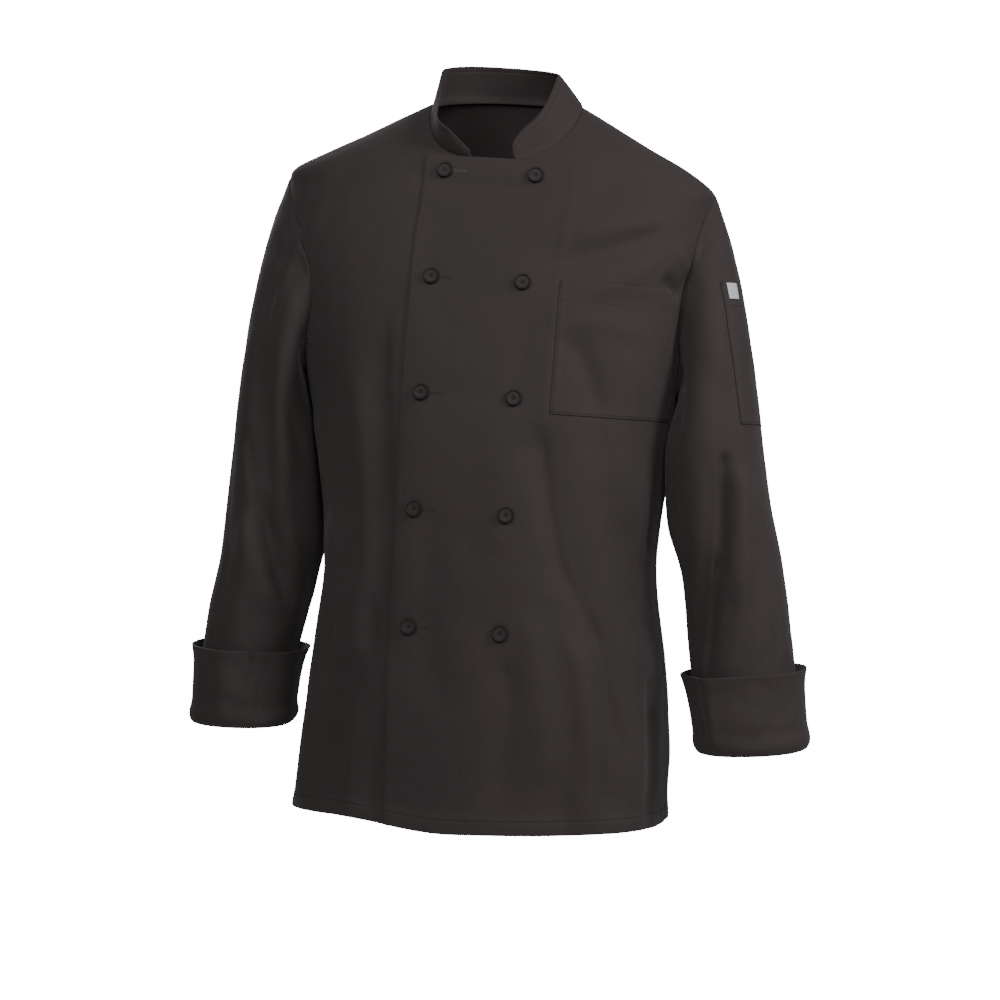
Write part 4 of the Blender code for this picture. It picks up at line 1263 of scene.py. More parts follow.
    def cuff(self) -> ClothPiece:
        """The cuff: the sleeve's end turned out and up over itself, and open at the top."""
        angles = self.angles()[None, :]
        place = np.linspace(0.0, CUFF_TURNS[-1].height, self.cuff_rows + 1)
        knots = np.array([turn.height for turn in CUFF_TURNS])
        outer_up = np.interp(place, knots, CUFF_OUTER_UP)[:, None]
        inner_up = np.interp(place, knots, [turn.inner_up for turn in CUFF_TURNS])[:, None]
        free = ease((outer_up - CUFF_HELD) / CUFF_FREE_REACH)
        rise = creases_rise(self.cuff_creases, ARM_GIRTH, angles, outer_up)
        x, y = np.cos(angles) * 2.0 + 7.0, np.sin(angles) * 2.0
        small = soft_noise(x, y + outer_up / 0.03, self.seed + 5)
        room = column(CUFF_TURNS, "inner_out", place)[:, None] - CUFF_ROOM
        rise = np.maximum((rise + CUFF_RUMPLE * small) * free, -np.maximum(room, 0.0))
        faces = []
        for name, up in (("outer_out", outer_up), ("inner_out", inner_up)):
            out = np.broadcast_to(column(CUFF_TURNS, name, place)[:, None] + rise, rise.shape)
            heights = np.broadcast_to(self.lower_end + up, rise.shape)
            points = self.point(angles, heights, out)
            faces.append(self.beside_body(points, self.rest_gap(heights, out)))
        normals = surface_normals(faces[0], True, -self.side.value)
        outward = faces[0] - faces[0][:, :-1].mean(axis=1, keepdims=True)
        if (normals * outward).sum() < 0.0:
            normals = -normals
        grid = Grid(faces[0], normals, tube=True)
        seam = np.full(grid.points.shape[:2], FAR)
        return ClothPiece(
            f"cuff_{self.side.word}", grid, seam, BAND_WALL, Held.FOLDED,
            (f"sleeve_{self.side.word}",), inner=faces[1],
        )


LEFT_ARM = Arm(
    side=Side.LEFT,
    cap_reach=0.36,
    cap_end=-0.375,
    lower_end=-0.6865,
    rings=(
        #       height    mid_x   mid_y   width   depth
        ArmRing(-0.690, 0.2800, -0.055, 0.0555, 0.050),
        ArmRing(-0.603, 0.2680, -0.046, 0.0555, 0.054),
        ArmRing(-0.5805, 0.2650, -0.043, 0.0555, 0.056),
        ArmRing(-0.5315, 0.2590, -0.036, 0.0540, 0.062),
        ArmRing(-0.490, 0.2535, -0.031, 0.0530, 0.067),
        ArmRing(-0.446, 0.2450, -0.026, 0.0520, 0.071),
        ArmRing(-0.397, 0.2370, -0.022, 0.0520, 0.074),
        ArmRing(-0.321, 0.2320, -0.020, 0.0480, 0.076),
    ),
    creases=(
        Crease(62, -0.30, 72, -0.40, 0.016, -0.004, fade=0.035),
        Crease(72, -0.40, 108, -0.49, 0.015, -0.006),
        Crease(108, -0.49, 136, -0.585, 0.015, -0.006),
        Crease(50, -0.40, 80, -0.52, 0.016, 0.005),
        Crease(262, -0.36, 300, -0.44, 0.013, -0.007),
        Crease(250, -0.43, 290, -0.50, 0.015, 0.005),
        # Finer: the long fold down the front and the swell beside it
        Crease(69, -0.378, 97, -0.500, 0.0070, -0.0058, bow=0.002, lean=0.35, fade=0.016),
        Crease(96, -0.490, 125, -0.615, 0.0070, -0.0056, bow=-0.002, lean=0.35),
        Crease(54, -0.390, 76, -0.540, 0.0090, 0.0024, bow=0.002),
        Crease(76, -0.520, 100, -0.610, 0.0100, 0.0022, bow=0.002),
        Crease(56, -0.585, 92, -0.615, 0.0060, -0.0016, bow=0.002, fade=0.020),
        Crease(28, -0.480, 44, -0.600, 0.0090, -0.0020, bow=0.003),
        Crease(44, -0.235, 58, -0.330, 0.0090, -0.0016, bow=0.003),
        Crease(30, -0.142, 110, -0.172, 0.0100, -0.0036, fade=0.030),
        Crease(30, -0.116, 84, -0.130, 0.0100, 0.0026, fade=0.030),
        # The side against the body
        Crease(172, -0.290, 176, -0.480, 0.0320, 0.0100, fade=0.070),
        Crease(122, -0.290, 146, -0.460, 0.0110, -0.0034, bow=0.003),
        Crease(116, -0.235, 126, -0.330, 0.0080, 0.0022, bow=0.003),
        Crease(210, -0.330, 250, -0.400, 0.0080, -0.0022, bow=0.003),
        Crease(232, -0.480, 282, -0.540, 0.0080, -0.0036, bow=-0.003),
        Crease(300, -0.460, 338, -0.560, 0.0090, -0.0016, bow=0.003),
        Crease(310, -0.240, 326, -0.350, 0.0100, -0.0014, bow=0.003),
    ),
    cuff_creases=(
        Crease(75, 0.050, 75, 0.120, 0.0300, -0.0075, fade=0.040),
        Crease(121, -0.010, 115, 0.110, 0.0090, 0.0034, bow=0.002, fade=0.020),
        Crease(143, -0.010, 141, 0.110, 0.0150, -0.0048, fade=0.020),
        Crease(88, 0.010, 62, 0.026, 0.0080, -0.0018, fade=0.020),
        Crease(70, 0.030, 38, 0.052, 0.0080, -0.0014, fade=0.020),
        Crease(40, 0.004, 33, 0.050, 0.010, 0.0016, fade=0.020),
        Crease(205, 0.012, 218, 0.070, 0.010, -0.0022, fade=0.020),
        Crease(285, 0.010, 297, 0.064, 0.010, -0.0016, fade=0.020),
    ),
    seed=61,
)
RIGHT_ARM = Arm(
    side=Side.RIGHT,
    cap_reach=0.42,
    cap_end=-0.350,
    lower_end=-0.668,
    rings=(
        ArmRing(-0.6700, -0.2770, -0.055, 0.0550, 0.050),
        ArmRing(-0.5795, -0.2700, -0.044, 0.0530, 0.056),
        ArmRing(-0.5465, -0.2640, -0.039, 0.0550, 0.059),
        ArmRing(-0.5055, -0.2550, -0.033, 0.0550, 0.064),
        ArmRing(-0.4215, -0.2475, -0.023, 0.0520, 0.072),
        ArmRing(-0.3366, -0.2420, -0.020, 0.0480, 0.076),
        ArmRing(-0.3000, -0.2400, -0.020, 0.0460, 0.076),
    ),
    creases=(
        Crease(60, -0.19, 98, -0.42, 0.016, -0.0036, fade=0.070),
        Crease(84, -0.20, 118, -0.40, 0.016, 0.0026),
        Crease(88, -0.43, 128, -0.515, 0.015, -0.006),
        Crease(74, -0.45, 108, -0.54, 0.015, 0.004),
        Crease(34, -0.150, 104, -0.180, 0.0110, -0.0028, fade=0.030),
        Crease(262, -0.34, 298, -0.42, 0.016, -0.006),
        Crease(252, -0.42, 292, -0.49, 0.015, 0.005),
        # Finer: the long swell from the cap, the folds on both its sides and the one across it
        Crease(58, -0.185, 98, -0.330, 0.0120, -0.0016, bow=0.003, fade=0.060),
        Crease(96, -0.330, 104, -0.440, 0.0090, -0.0022, bow=0.002, lean=0.3),
        Crease(90, -0.200, 134, -0.500, 0.0130, 0.0022, bow=0.003),
        Crease(128, -0.180, 144, -0.260, 0.0100, -0.0020, bow=0.003),
        # The side against the body
        Crease(166, -0.235, 178, -0.490, 0.0300, 0.0110, fade=0.060),
        # The fold that sags across the arm, and the small folds round it
        Crease(70, -0.360, 99, -0.455, 0.0100, -0.0034, bow=0.002, lean=-0.5),
        Crease(97, -0.446, 140, -0.536, 0.0130, -0.0058, bow=0.010, lean=-0.5, fade=0.030),
        Crease(78, -0.440, 92, -0.590, 0.0120, 0.0030, bow=0.003),
        Crease(52, -0.480, 66, -0.600, 0.0090, -0.0022, bow=0.003),
        Crease(96, -0.575, 134, -0.600, 0.0060, -0.0014, bow=0.002, fade=0.020),
        Crease(38, -0.360, 50, -0.480, 0.0090, -0.0012, bow=0.003),
        Crease(120, -0.330, 150, -0.400, 0.0080, -0.0020, bow=0.003),
        Crease(208, -0.320, 246, -0.390, 0.0080, -0.0022, bow=0.003),
        Crease(230, -0.470, 280, -0.530, 0.0080, -0.0036, bow=-0.003),
        Crease(304, -0.440, 336, -0.545, 0.0090, -0.0016, bow=0.003),
        Crease(312, -0.230, 330, -0.340, 0.0100, -0.0014, bow=0.003),
    ),
    cuff_creases=(
        Crease(100, 0.052, 100, 0.120, 0.0110, -0.0085, fade=0.040),
        Crease(52, 0.000, 60, 0.070, 0.0110, -0.0026, bow=0.002, fade=0.020),
        Crease(84, 0.006, 78, 0.064, 0.0100, 0.0020, fade=0.020),
        Crease(120, -0.010, 124, 0.110, 0.0140, -0.0040, lean=0.5, fade=0.020),
        Crease(98, 0.020, 76, 0.034, 0.0080, -0.0014, fade=0.020),
        Crease(205, 0.012, 216, 0.070, 0.010, -0.0022, fade=0.020),
        Crease(290, 0.010, 302, 0.064, 0.010, -0.0016, fade=0.020),
    ),
    seed=83,
)


# ---- Pockets and the bare tab ----


def at_levels(grid: Grid, columns: range, levels: Array) -> Grid:
    """A sheet on some of a grid's own columns, with its rows at the given heights."""
    points = np.empty((len(levels), len(columns), 3))
    out = np.empty_like(points)
    for place, index in enumerate(columns):
        down = -grid.points[:, index, 2]
        for axis in range(3):
            points[:, place, axis] = np.interp(-levels, down, grid.points[:, index, axis])
            out[:, place, axis] = np.interp(-levels, down, grid.normals[:, index, axis])
    return Grid(points, unit(out))


def shares(count: int) -> Array:
    """Evenly spaced numbers from 0 to 1."""
    return np.linspace(0.0, 1.0, count)


@dataclass
class ChestPocket:
    """The patch pocket on the left front. It swells a little and its top edge gapes."""

    first_column: int = SIDE_COLUMNS // 8
    rims: tuple[Rim, ...] = (Rim.FIRST_ROW, Rim.FIRST_COLUMN, Rim.LAST_COLUMN)
    edge_stitch: float = 0.0018
    hem_stitch: float = 0.0210
    swell: float = 0.0014
    gape: float = 0.0018
    gape_from: float = 0.86
    gape_reach: float = 0.14
    foot_reach: float = 0.18
    tack: float = 0.0065

    def piece(self, front: Grid) -> ClothPiece:
        """The pocket, made from the front's own points."""
        rows = slice(SKIRT_ROWS, SKIRT_ROWS + BELOW_ROWS + ARMHOLE_ROWS // 2 + 1)
        under = front.part(rows, slice(self.first_column, SIDE_COLUMNS + 1))
        up, across = shares(under.points.shape[0])[:, None], shares(under.points.shape[1])[None, :]
        middle = np.sin(math.pi * across) ** 0.8
        uneven = 0.7 + 0.3 * soft_noise(across * 5, up * 4, POCKET_SEED)
        lift = self.swell * middle * ease(up / self.foot_reach) * uneven
        lift = lift + self.gape * middle * ease((up - self.gape_from) / self.gape_reach)
        grid = under.moved_out(PATCH_LAY + lift)
        seam = sewn_distance(grid, *((rim, self.edge_stitch) for rim in self.rims))
        return ClothPiece(
            "chest_pocket", grid, seam, PATCH_WALL, Held.LAID, rests_on=("front_left",)
        )

    def sewing(self, grid: Grid) -> list[Seam]:
        """Its edge stitching, its hem and the tacks at its top corners."""
        lines = [grid.line(rim, self.edge_stitch) for rim in self.rims]
        tacks = [edge.end(self.tack) for edge in lines[1:]]
        lines.append(grid.line(Rim.LAST_ROW, self.hem_stitch))
        return [Seam(StitchKind.TOPSTITCH, lines), Seam(StitchKind.TACK, tacks)]


@dataclass
class SleevePocket:
    """The narrow pocket on the left upper sleeve, with a bare woven tab at its top."""

    top: float = -0.195
    bottom: float = -0.345
    rows: int = 50
    columns: range = range(0, 19)
    rims: tuple[Rim, ...] = (Rim.LAST_ROW, Rim.FIRST_COLUMN, Rim.LAST_COLUMN)
    label_top: float = -0.196
    label_bottom: float = -0.213
    label_rows: int = 8
    label_columns: range = range(9, 16)
    edge_stitch: float = 0.0018
    hem_stitch: float = 0.0265
    swell: float = 0.0008
    foot_reach: float = 0.2
    tack: float = 0.0055
    foot_tack: float = 0.0090

    def grid(self, sleeve: Grid) -> Grid:
        """Its outer face, with its first row at the top."""
        levels = np.linspace(self.top, self.bottom, self.rows + 1)
        under = at_levels(sleeve, self.columns, levels)
        down, across = shares(under.points.shape[0])[:, None], shares(under.points.shape[1])[None, :]
        lift = self.swell * np.sin(math.pi * across) * ease((1.0 - down) / self.foot_reach)
        return under.moved_out(PATCH_LAY + lift)

    def pieces(self, sleeve: Grid) -> tuple[ClothPiece, ClothPiece]:
        """The pocket and its tab."""
        grid = self.grid(sleeve)
        edges = ((rim, self.edge_stitch) for rim in self.rims)
        seam = sewn_distance(grid, *edges, (Rim.FIRST_ROW, self.hem_stitch))
        pocket = ClothPiece("sleeve_pocket", grid, seam, PATCH_WALL, Held.LAID, ("sleeve_left",))
        levels = np.linspace(self.label_top, self.label_bottom, self.label_rows + 1)
        face = at_levels(grid, self.label_columns, levels).moved_out(PATCH_LAY)
        unsewn = np.full(face.points.shape[:2], FAR)
        rests_on = ("sleeve_pocket",)
        return pocket, ClothPiece("sleeve_label", face, unsewn, PATCH_WALL, Held.LAID, rests_on, "label")

    def sewing(self, grid: Grid) -> list[Seam]:
        """Its edge stitching, its hem and the tacks at its corners."""
        lines = [grid.line(rim, self.edge_stitch) for rim in self.rims]
        tacks = [lines[0].end(self.foot_tack), *(edge.start(self.tack) for edge in lines[1:])]
        lines.append(grid.line(Rim.FIRST_ROW, self.hem_stitch))
        return [Seam(StitchKind.TOPSTITCH, lines), Seam(StitchKind.TACK, tacks)]


# ---- Buttons ----


@dataclass
class Buttons:
    """Ten round buttons in two columns, each with its thread, and five worked buttonholes."""

    radius: float = 0.0086
    height: float = 0.0034
    seat: float = 0.0006
    column: float = 0.049
    heights: tuple[float, ...] = (-0.0785, -0.1930, -0.3148, -0.4362, -0.5585)
    sides: int = 48
    hole_ring: float = 0.00150
    hole_radius: float = 0.00078
    hole_depth: float = 0.0014
    hole_softness: float = 0.35
    hole_middle: float = 0.0138
    hole_half_length: float = 0.0092
    hole_half_width: float = 0.0010
    turn_on: float = 37.0
    face_share: float = 0.61
    thread_lift: float = 0.00012
    # Where painted shade darkens the button: a ring just inside its rim, and its side
    groove: float = 0.79
    groove_width: float = 0.045
    side_from: float = 0.90
    side_fade: float = 0.06
    profile: tuple[tuple[float, float], ...] = (
        # share of the radius and of the height, from the middle of its underside to that of its face
        (0.00, 0.00), (0.50, 0.00), (0.78, 0.00), (0.88, 0.06), (0.955, 0.20), (0.995, 0.42),
        (0.990, 0.66), (0.965, 0.84), (0.930, 0.95), (0.895, 1.00), (0.860, 0.97), (0.825, 0.88),
        (0.790, 0.77), (0.755, 0.69), (0.715, 0.655), (0.66, 0.65), (0.58, 0.645), (0.48, 0.635),
        (0.39, 0.625), (0.31, 0.615), (0.26, 0.61), (0.235, 0.61), (0.21, 0.61), (0.185, 0.61),
        (0.16, 0.61), (0.135, 0.61), (0.11, 0.61), (0.085, 0.61), (0.05, 0.61), (0.00, 0.61),
    )

    def local_points(self) -> Array:
        """The button's own points: rings along its profile, turned about its axis."""
        turns = np.arange(self.sides) * 2 * math.pi / self.sides
        profile = np.array(self.profile)
        ring = profile[:, 0, None] * self.radius
        x, y = ring * np.cos(turns), ring * np.sin(turns)
        z = np.broadcast_to(profile[:, 1, None] * self.height, x.shape).copy()
        face = np.arange(len(profile))[:, None] > len(profile) // 2
        for quarter in range(4):
            angle = (quarter + 0.5) * math.pi / 2
            away = np.hypot(x - self.hole_ring * math.cos(angle), y - self.hole_ring * math.sin(angle))
            sunk = ease((self.hole_radius - away) / (self.hole_softness * self.hole_radius) + 0.5)
            z = z - np.where(face, self.hole_depth * sunk, 0.0)
        return np.stack([x, y, z], axis=-1)

    def painted_shade(self) -> Array:
        """How much painted shade darkens each ring: in the groove and round the side."""
        radius, up = np.array(self.profile).T
        groove = bell((radius - self.groove) / self.groove_width) * (up > 0.5)
        return np.maximum(groove, ease((radius - self.side_from) / self.side_fade))

    def places(self) -> dict[str, tuple[Array, Array]]:
        """Each button's seat and its three axes, by node. Each is turned on from the last."""
        places = {}
        for row, height in enumerate(self.heights):
            for side in Side:
                turn = turn_from_side(np.array(side.value * self.column), height, Side.LEFT)
                facing = body_normal(turn, height)
                before, after = (body_point(turn + sign * SMALL_STEP, height) for sign in (-1, 1))
                across, spin = unit(before - after), math.radians(self.turn_on * len(places))
                along = across * math.cos(spin) + np.cross(facing, across) * math.sin(spin)
                seat = body_point(turn, height) + facing * (LAY + self.seat)
                axes = np.stack([along, np.cross(facing, along), facing])
                places[f"button_{row + 1}_{side.word}"] = seat, axes
        return places

    def build(self, plastic: bpy.types.Material) -> None:
        """Makes each button as a piece of its own."""
        local = self.local_points()
        rows = np.arange(local.shape[0] - 1)
        row, col = np.meshgrid(rows, np.arange(self.sides), indexing="ij")
        start, beyond = row * self.sides, (col + 1) % self.sides
        above = start + self.sides
        corners = [start + col, start + beyond, above + beyond, above + col]
        quads = np.stack(corners, axis=-1).reshape(-1, 4).tolist()
        for node, (seat, axes) in self.places().items():
            mesh = bpy.data.meshes.new(node)
            mesh.from_pydata((seat + local.reshape(-1, 3) @ axes).tolist(), [], quads)
            # Each point's share of painted shade, which the button's finish turns near-black
            write_numbers(mesh, PAINTED_SHADE_ATTRIBUTE, np.repeat(self.painted_shade(), self.sides))
            clean(mesh, face_out=True)
            mesh.materials.append(plastic)
            button = new_object(f"{node}_turned", mesh)
            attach(button, BODY_NAME)
            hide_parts(node)
            LOG.info("%s: seated on the left front", node)

    def threads(self) -> list[Line]:
        """Two short bars of thread over each button's holes."""
        bars = []
        reach = self.hole_ring * math.sqrt(0.5)
        for seat, (along, aside, facing) in self.places().values():
            face = seat + facing * (self.face_share * self.height + self.thread_lift)
            for sign in (-1.0, 1.0):
                middle = face + aside * (reach * sign)
                ends = np.stack([middle - along * reach, middle + along * reach])
                bars.append(Line(ends, np.stack([facing, facing])))
        return bars

    def buttonholes(self) -> list[Line]:
        """The ovals of the worked buttonholes beside the right column's buttons."""
        ovals = []
        turns = np.linspace(0.0, 2 * math.pi, 49)
        for height in self.heights:
            beside = -self.column + self.hole_middle
            along = self.hole_half_length * signed_power(np.cos(turns), 0.6)
            up = self.hole_half_width * np.sin(turns)
            turn = turn_from_side(beside + along, height + up, Side.LEFT)
            facing = body_normal(turn, height + up)
            ovals.append(Line(body_point(turn, height + up) + facing * LAY, facing))
        return ovals


# ---- Sewing ----


@dataclass(frozen=True)
class Stitch:
    """The measures of one kind of stitch."""

    spacing: float
    length: float
    thickness: float
    turn: float
    lift: float


class StitchKind(Enum):
    """The kinds of sewing on the jacket."""

    TOPSTITCH = Stitch(0.0031, 0.0026, 0.00045, 0.0, 0.00008)
    TACK = Stitch(0.00042, 0.0024, 0.00042, math.pi / 2, 0.00012)
    BUTTONHOLE = Stitch(0.00045, 0.0019, 0.00045, math.pi / 2, 0.00015)
    BAR = Stitch(0.0021, 0.0027, 0.00060, 0.0, 0.0)


@dataclass
class Seam:
    """Lines that are sewn with one kind of stitch."""

    kind: StitchKind
    lines: list[Line]


@dataclass
class Wiring:
    """Adds nodes to a node tree and joins them."""

    tree: bpy.types.NodeTree

    def feed(self, node: bpy.types.Node, inputs: dict) -> None:
        """Gives a node's inputs, by name or place, their values or the sockets that feed them."""
        for name, value in inputs.items():
            socket = node.inputs[name]
            if isinstance(value, bpy.types.NodeSocket):
                self.tree.links.new(value, socket)
            else:
                socket.default_value = value

    def add(self, kind: str, inputs: dict | None = None, **settings: object) -> bpy.types.Node:
        """Adds one node.

        Args:
            kind: the node's type.
            inputs: for each input, by name or place, its value or the socket that feeds it.
            settings: the node's own options.

        Returns:
            The new node.
        """
        node = self.tree.nodes.new(kind)
        for name, value in settings.items():
            setattr(node, name, value)
        self.feed(node, inputs or {})
        return node

    def math(self, operation: str, *values: object) -> Socket:
        """One sum of numbers or sockets."""
        return self.add("ShaderNodeMath", dict(enumerate(values)), operation=operation).outputs[0]

    def wave(self, value: Socket, pace: float) -> Socket:
        """The sine of a value times a pace."""
        return self.math("SINE", self.math("MULTIPLY", value, pace))

    def bell(self, value: Socket) -> Socket:
        """A hump of height one that falls away on both sides of nought."""
        square = self.math("MULTIPLY", value, value)
        return self.math("POWER", math.e, self.math("MULTIPLY", square, -1.0))

    def where(self) -> Socket:
        """The place on the object itself."""
        return self.add("ShaderNodeTexCoord").outputs["Object"]

    def noise(self, place: Socket, scale: Socket | float, detail: float, **more: float) -> Socket:
        """Noise of this scale and detail."""
        inputs = {"Vector": place, "Scale": scale, "Detail": detail, **more}
        return self.add("ShaderNodeTexNoise", inputs).outputs[0]

    def bump(self, height: Socket, distance: float, **more: object) -> Socket:
        """A fine relief that only the shading shows."""
        inputs = {"Height": height, "Distance": distance, **more}
        return self.add("ShaderNodeBump", inputs).outputs[0]

    def blend(self, share: Socket, low: Colour | Socket, high: Colour) -> Socket:
        """A colour between two others."""
        return self.add("ShaderNodeMix", {0: share, 6: low, 7: high}, data_type="RGBA").outputs[2]


def stitch_tree() -> bpy.types.NodeTree:
    """The node tree that lays a stitch at every step along the lines of a mesh of edges."""
    tree = bpy.data.node_groups.new("stitches", "GeometryNodeTree")
    face = tree.interface
    kinds = {"Geometry": "Geometry", **dict.fromkeys(("Spacing", "Length", "Thickness", "Turn"), "Float")}
    for name, kind in {**kinds, "Seed": "Int", "Finish": "Material"}.items():
        face.new_socket(name, in_out="INPUT", socket_type=f"NodeSocket{kind}")
    face.new_socket("Geometry", in_out="OUTPUT", socket_type="NodeSocketGeometry")
    wiring = Wiring(tree)
    given = wiring.add("NodeGroupInput").outputs
    curve = wiring.add("GeometryNodeMeshToCurve", {0: given["Geometry"]})
    path = wiring.add(
        "GeometryNodeResampleCurve",
        {0: curve.outputs[0], "Length": given["Spacing"]},
        mode="LENGTH",
    )
    out = wiring.add("GeometryNodeInputNamedAttribute", {"Name": OUT_ATTRIBUTE}, data_type="FLOAT_VECTOR")
    tangent = wiring.add("GeometryNodeInputTangent")
    stood = wiring.add("FunctionNodeAlignRotationToVector", {"Vector": out.outputs[0]}, axis="Z")
    laid = wiring.add(
        "FunctionNodeAlignRotationToVector",
        {"Rotation": stood.outputs[0], "Vector": tangent.outputs[0]},
        axis="X",
        pivot_axis="Z",
    )
    sway = wiring.add("FunctionNodeRandomValue", {"Seed": given["Seed"]}, data_type="FLOAT")
    for name, value in (("Min", -0.07), ("Max", 0.07)):
        next(s for s in sway.inputs if s.name == name and s.type == "VALUE").default_value = value
    swayed = next(s for s in sway.outputs if s.type == "VALUE")
    angle = wiring.math("ADD", given["Turn"], swayed)
    turned = wiring.add("FunctionNodeAxisAngleToRotation", {"Axis": (0.0, 0.0, 1.0), "Angle": angle})
    rotation = wiring.add(
        "FunctionNodeRotateRotation",
        {"Rotation": laid.outputs[0], "Rotate By": turned.outputs[0]},
        rotation_space="LOCAL",
    )
    pull = wiring.math("MULTIPLY_ADD", swayed, 1.1, 1.0)
    length = wiring.math("MULTIPLY", given["Length"], pull)
    size = wiring.add("ShaderNodeCombineXYZ", {0: length, 1: given["Thickness"], 2: given["Thickness"]})
    grain = wiring.add("GeometryNodeMeshUVSphere", {"Segments": 6, "Rings": 5, "Radius": 0.5})
    laid_out = wiring.add(
        "GeometryNodeInstanceOnPoints",
        {
            "Points": path.outputs[0],
            "Instance": grain.outputs[0],
            "Rotation": rotation.outputs[0],
            "Scale": size.outputs[0],
        },
    )
    real = wiring.add("GeometryNodeRealizeInstances", {0: laid_out.outputs[0]})
    smooth = wiring.add("GeometryNodeSetShadeSmooth", {0: real.outputs[0]})
    dressed = wiring.add(
        "GeometryNodeSetMaterial", {0: smooth.outputs[0], "Material": given["Finish"]}
    )
    wiring.add("NodeGroupOutput", {0: dressed.outputs[0]})
    return tree


@dataclass
class Sewing:
    """The jacket's threads: each piece's seams become one piece of real stitches.

    Args:
        thread: the thread's finish.
        tree: the node tree that lays the stitches.
        seed: the number that picks how the next seam's stitches sway.
    """

    thread: bpy.types.Material
    tree: bpy.types.NodeTree = field(default_factory=stitch_tree)
    seed: int = 5

    @staticmethod
    def path_mesh(lines: list[Line], lift: float) -> bpy.types.Mesh:
        """A mesh of edges along the lines, with the way out of the cloth at each point."""
        points, edges, out = [], [], []
        for line in lines:
            start = len(points)
            points += line.moved_out(lift).points.tolist()
            out += line.normals.tolist()
            edges += [(start + step, start + step + 1) for step in range(len(line.points) - 1)]
        mesh = bpy.data.meshes.new("path")
        mesh.from_pydata(points, edges, [])
        attribute = mesh.attributes.new(OUT_ATTRIBUTE, "FLOAT_VECTOR", "POINT")
        attribute.data.foreach_set("vector", np.array(out, np.float32).reshape(-1))
        return mesh

    def stitched(self, seam: Seam) -> bpy.types.Mesh:
        """The stitches of one seam as a plain mesh."""
        kind = seam.kind.value
        path = new_object("path", self.path_mesh(seam.lines, kind.lift))
        modifier = path.modifiers.new("stitches", "NODES")
        modifier.node_group = self.tree
        values = {
            "Spacing": kind.spacing,
            "Length": kind.length,
            "Thickness": kind.thickness,
            "Turn": kind.turn,
            "Seed": self.seed,
            "Finish": self.thread,
        }
        for item in self.tree.interface.items_tree:
            if item.in_out == "INPUT" and item.name in values:
                modifier[item.identifier] = values[item.name]
        self.seed += 1
        ready = path.evaluated_get(bpy.context.evaluated_depsgraph_get())
        mesh = bpy.data.meshes.new_from_object(ready)
        path.modifiers.remove(modifier)
        bpy.data.objects.remove(path, do_unlink=True)
        return mesh

    def sew(self, name: str, seams: list[Seam]) -> bpy.types.Object:
        """Sews one piece's seams.

        Args:
            name: the stitches' own name.
            seams: its seams.

        Returns:
            The stitches as one piece that rides on the body.
        """
        shape = bmesh.new()
        for seam in seams:
            shape.from_mesh(self.stitched(seam))
        mesh = bpy.data.meshes.new(name)
        shape.to_mesh(mesh)
        shape.free()
        mesh.shade_smooth()
        mesh.materials.append(self.thread)
        piece = new_object(name, mesh)
        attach(piece, BODY_NAME)
        LOG.info("%s: %d faces of thread", name, len(mesh.polygons))
        return piece


# ---- Finishes ----


class Effect(Enum):
    """The effects that finishes share, as node groups."""

    TWILL = "twill"
    SEAM = "seam_relief"
    WEAR = "wear"


def new_group(effect: Effect, inputs: dict[str, float], outputs: tuple[str, ...]) -> Wiring:
    """A shader node group with named number inputs and outputs."""
    tree = bpy.data.node_groups.new(effect.value, "ShaderNodeTree")
    for name, value in inputs.items():
        socket = tree.interface.new_socket(name, in_out="INPUT", socket_type="NodeSocketFloat")
        socket.default_value = value
    for name in outputs:
        tree.interface.new_socket(name, in_out="OUTPUT", socket_type="NodeSocketFloat")
    return Wiring(tree)


def twill_group() -> bpy.types.NodeTree:
    """Diagonal ribs of yarn over the cloth's own map: their relief, and their unevenness."""
    wiring = new_group(Effect.TWILL, {"Pitch": 0.0009}, ("Relief", "Slub"))
    given = wiring.add("NodeGroupInput").outputs
    place = wiring.add("ShaderNodeUVMap", uv_map=CLOTH_MAP).outputs[0]
    axes = wiring.add("ShaderNodeSeparateXYZ", {0: place}).outputs
    slope = wiring.math("MULTIPLY_ADD", axes[1], 0.62, axes[0])
    step = wiring.math("DIVIDE", slope, given["Pitch"])
    step = wiring.math("MULTIPLY_ADD", wiring.noise(place, 420.0, 2.0), 0.9, step)
    weft = wiring.wave(wiring.math("DIVIDE", axes[1], given["Pitch"]), math.pi)
    relief = wiring.math("MULTIPLY_ADD", wiring.wave(step, 2 * math.pi), 0.35, 0.5)
    relief = wiring.math("MULTIPLY_ADD", weft, 0.12, relief)
    wiring.add("NodeGroupOutput", {"Relief": relief, "Slub": wiring.noise(place, 900.0, 3.0)})
    return wiring.tree


def seam_group() -> bpy.types.NodeTree:
    """What sewing does to cloth beside a stitched line: a groove, a soft swell and a worn ridge."""
    wiring = new_group(Effect.SEAM, {"Groove": 0.0009, "Swell": 0.0042}, ("Relief", "Worn"))
    given = wiring.add("NodeGroupInput").outputs
    distance = wiring.add("ShaderNodeAttribute", attribute_name=SEAM_ATTRIBUTE).outputs["Fac"]
    away = wiring.math("ABSOLUTE", distance)
    groove = wiring.bell(wiring.math("DIVIDE", away, given["Groove"]))
    from_swell = wiring.math("SUBTRACT", away, wiring.math("MULTIPLY", given["Groove"], 2.6))
    swell = wiring.bell(wiring.math("DIVIDE", from_swell, given["Swell"]))
    uneven = wiring.math("MULTIPLY_ADD", wiring.noise(wiring.where(), 95.0, 1.0), 1.6, -0.3)
    worn = wiring.math("MULTIPLY", swell, uneven)
    relief = wiring.math("MULTIPLY_ADD", groove, -0.9, worn)
    wiring.add("NodeGroupOutput", {"Relief": relief, "Worn": worn})
    return wiring.tree


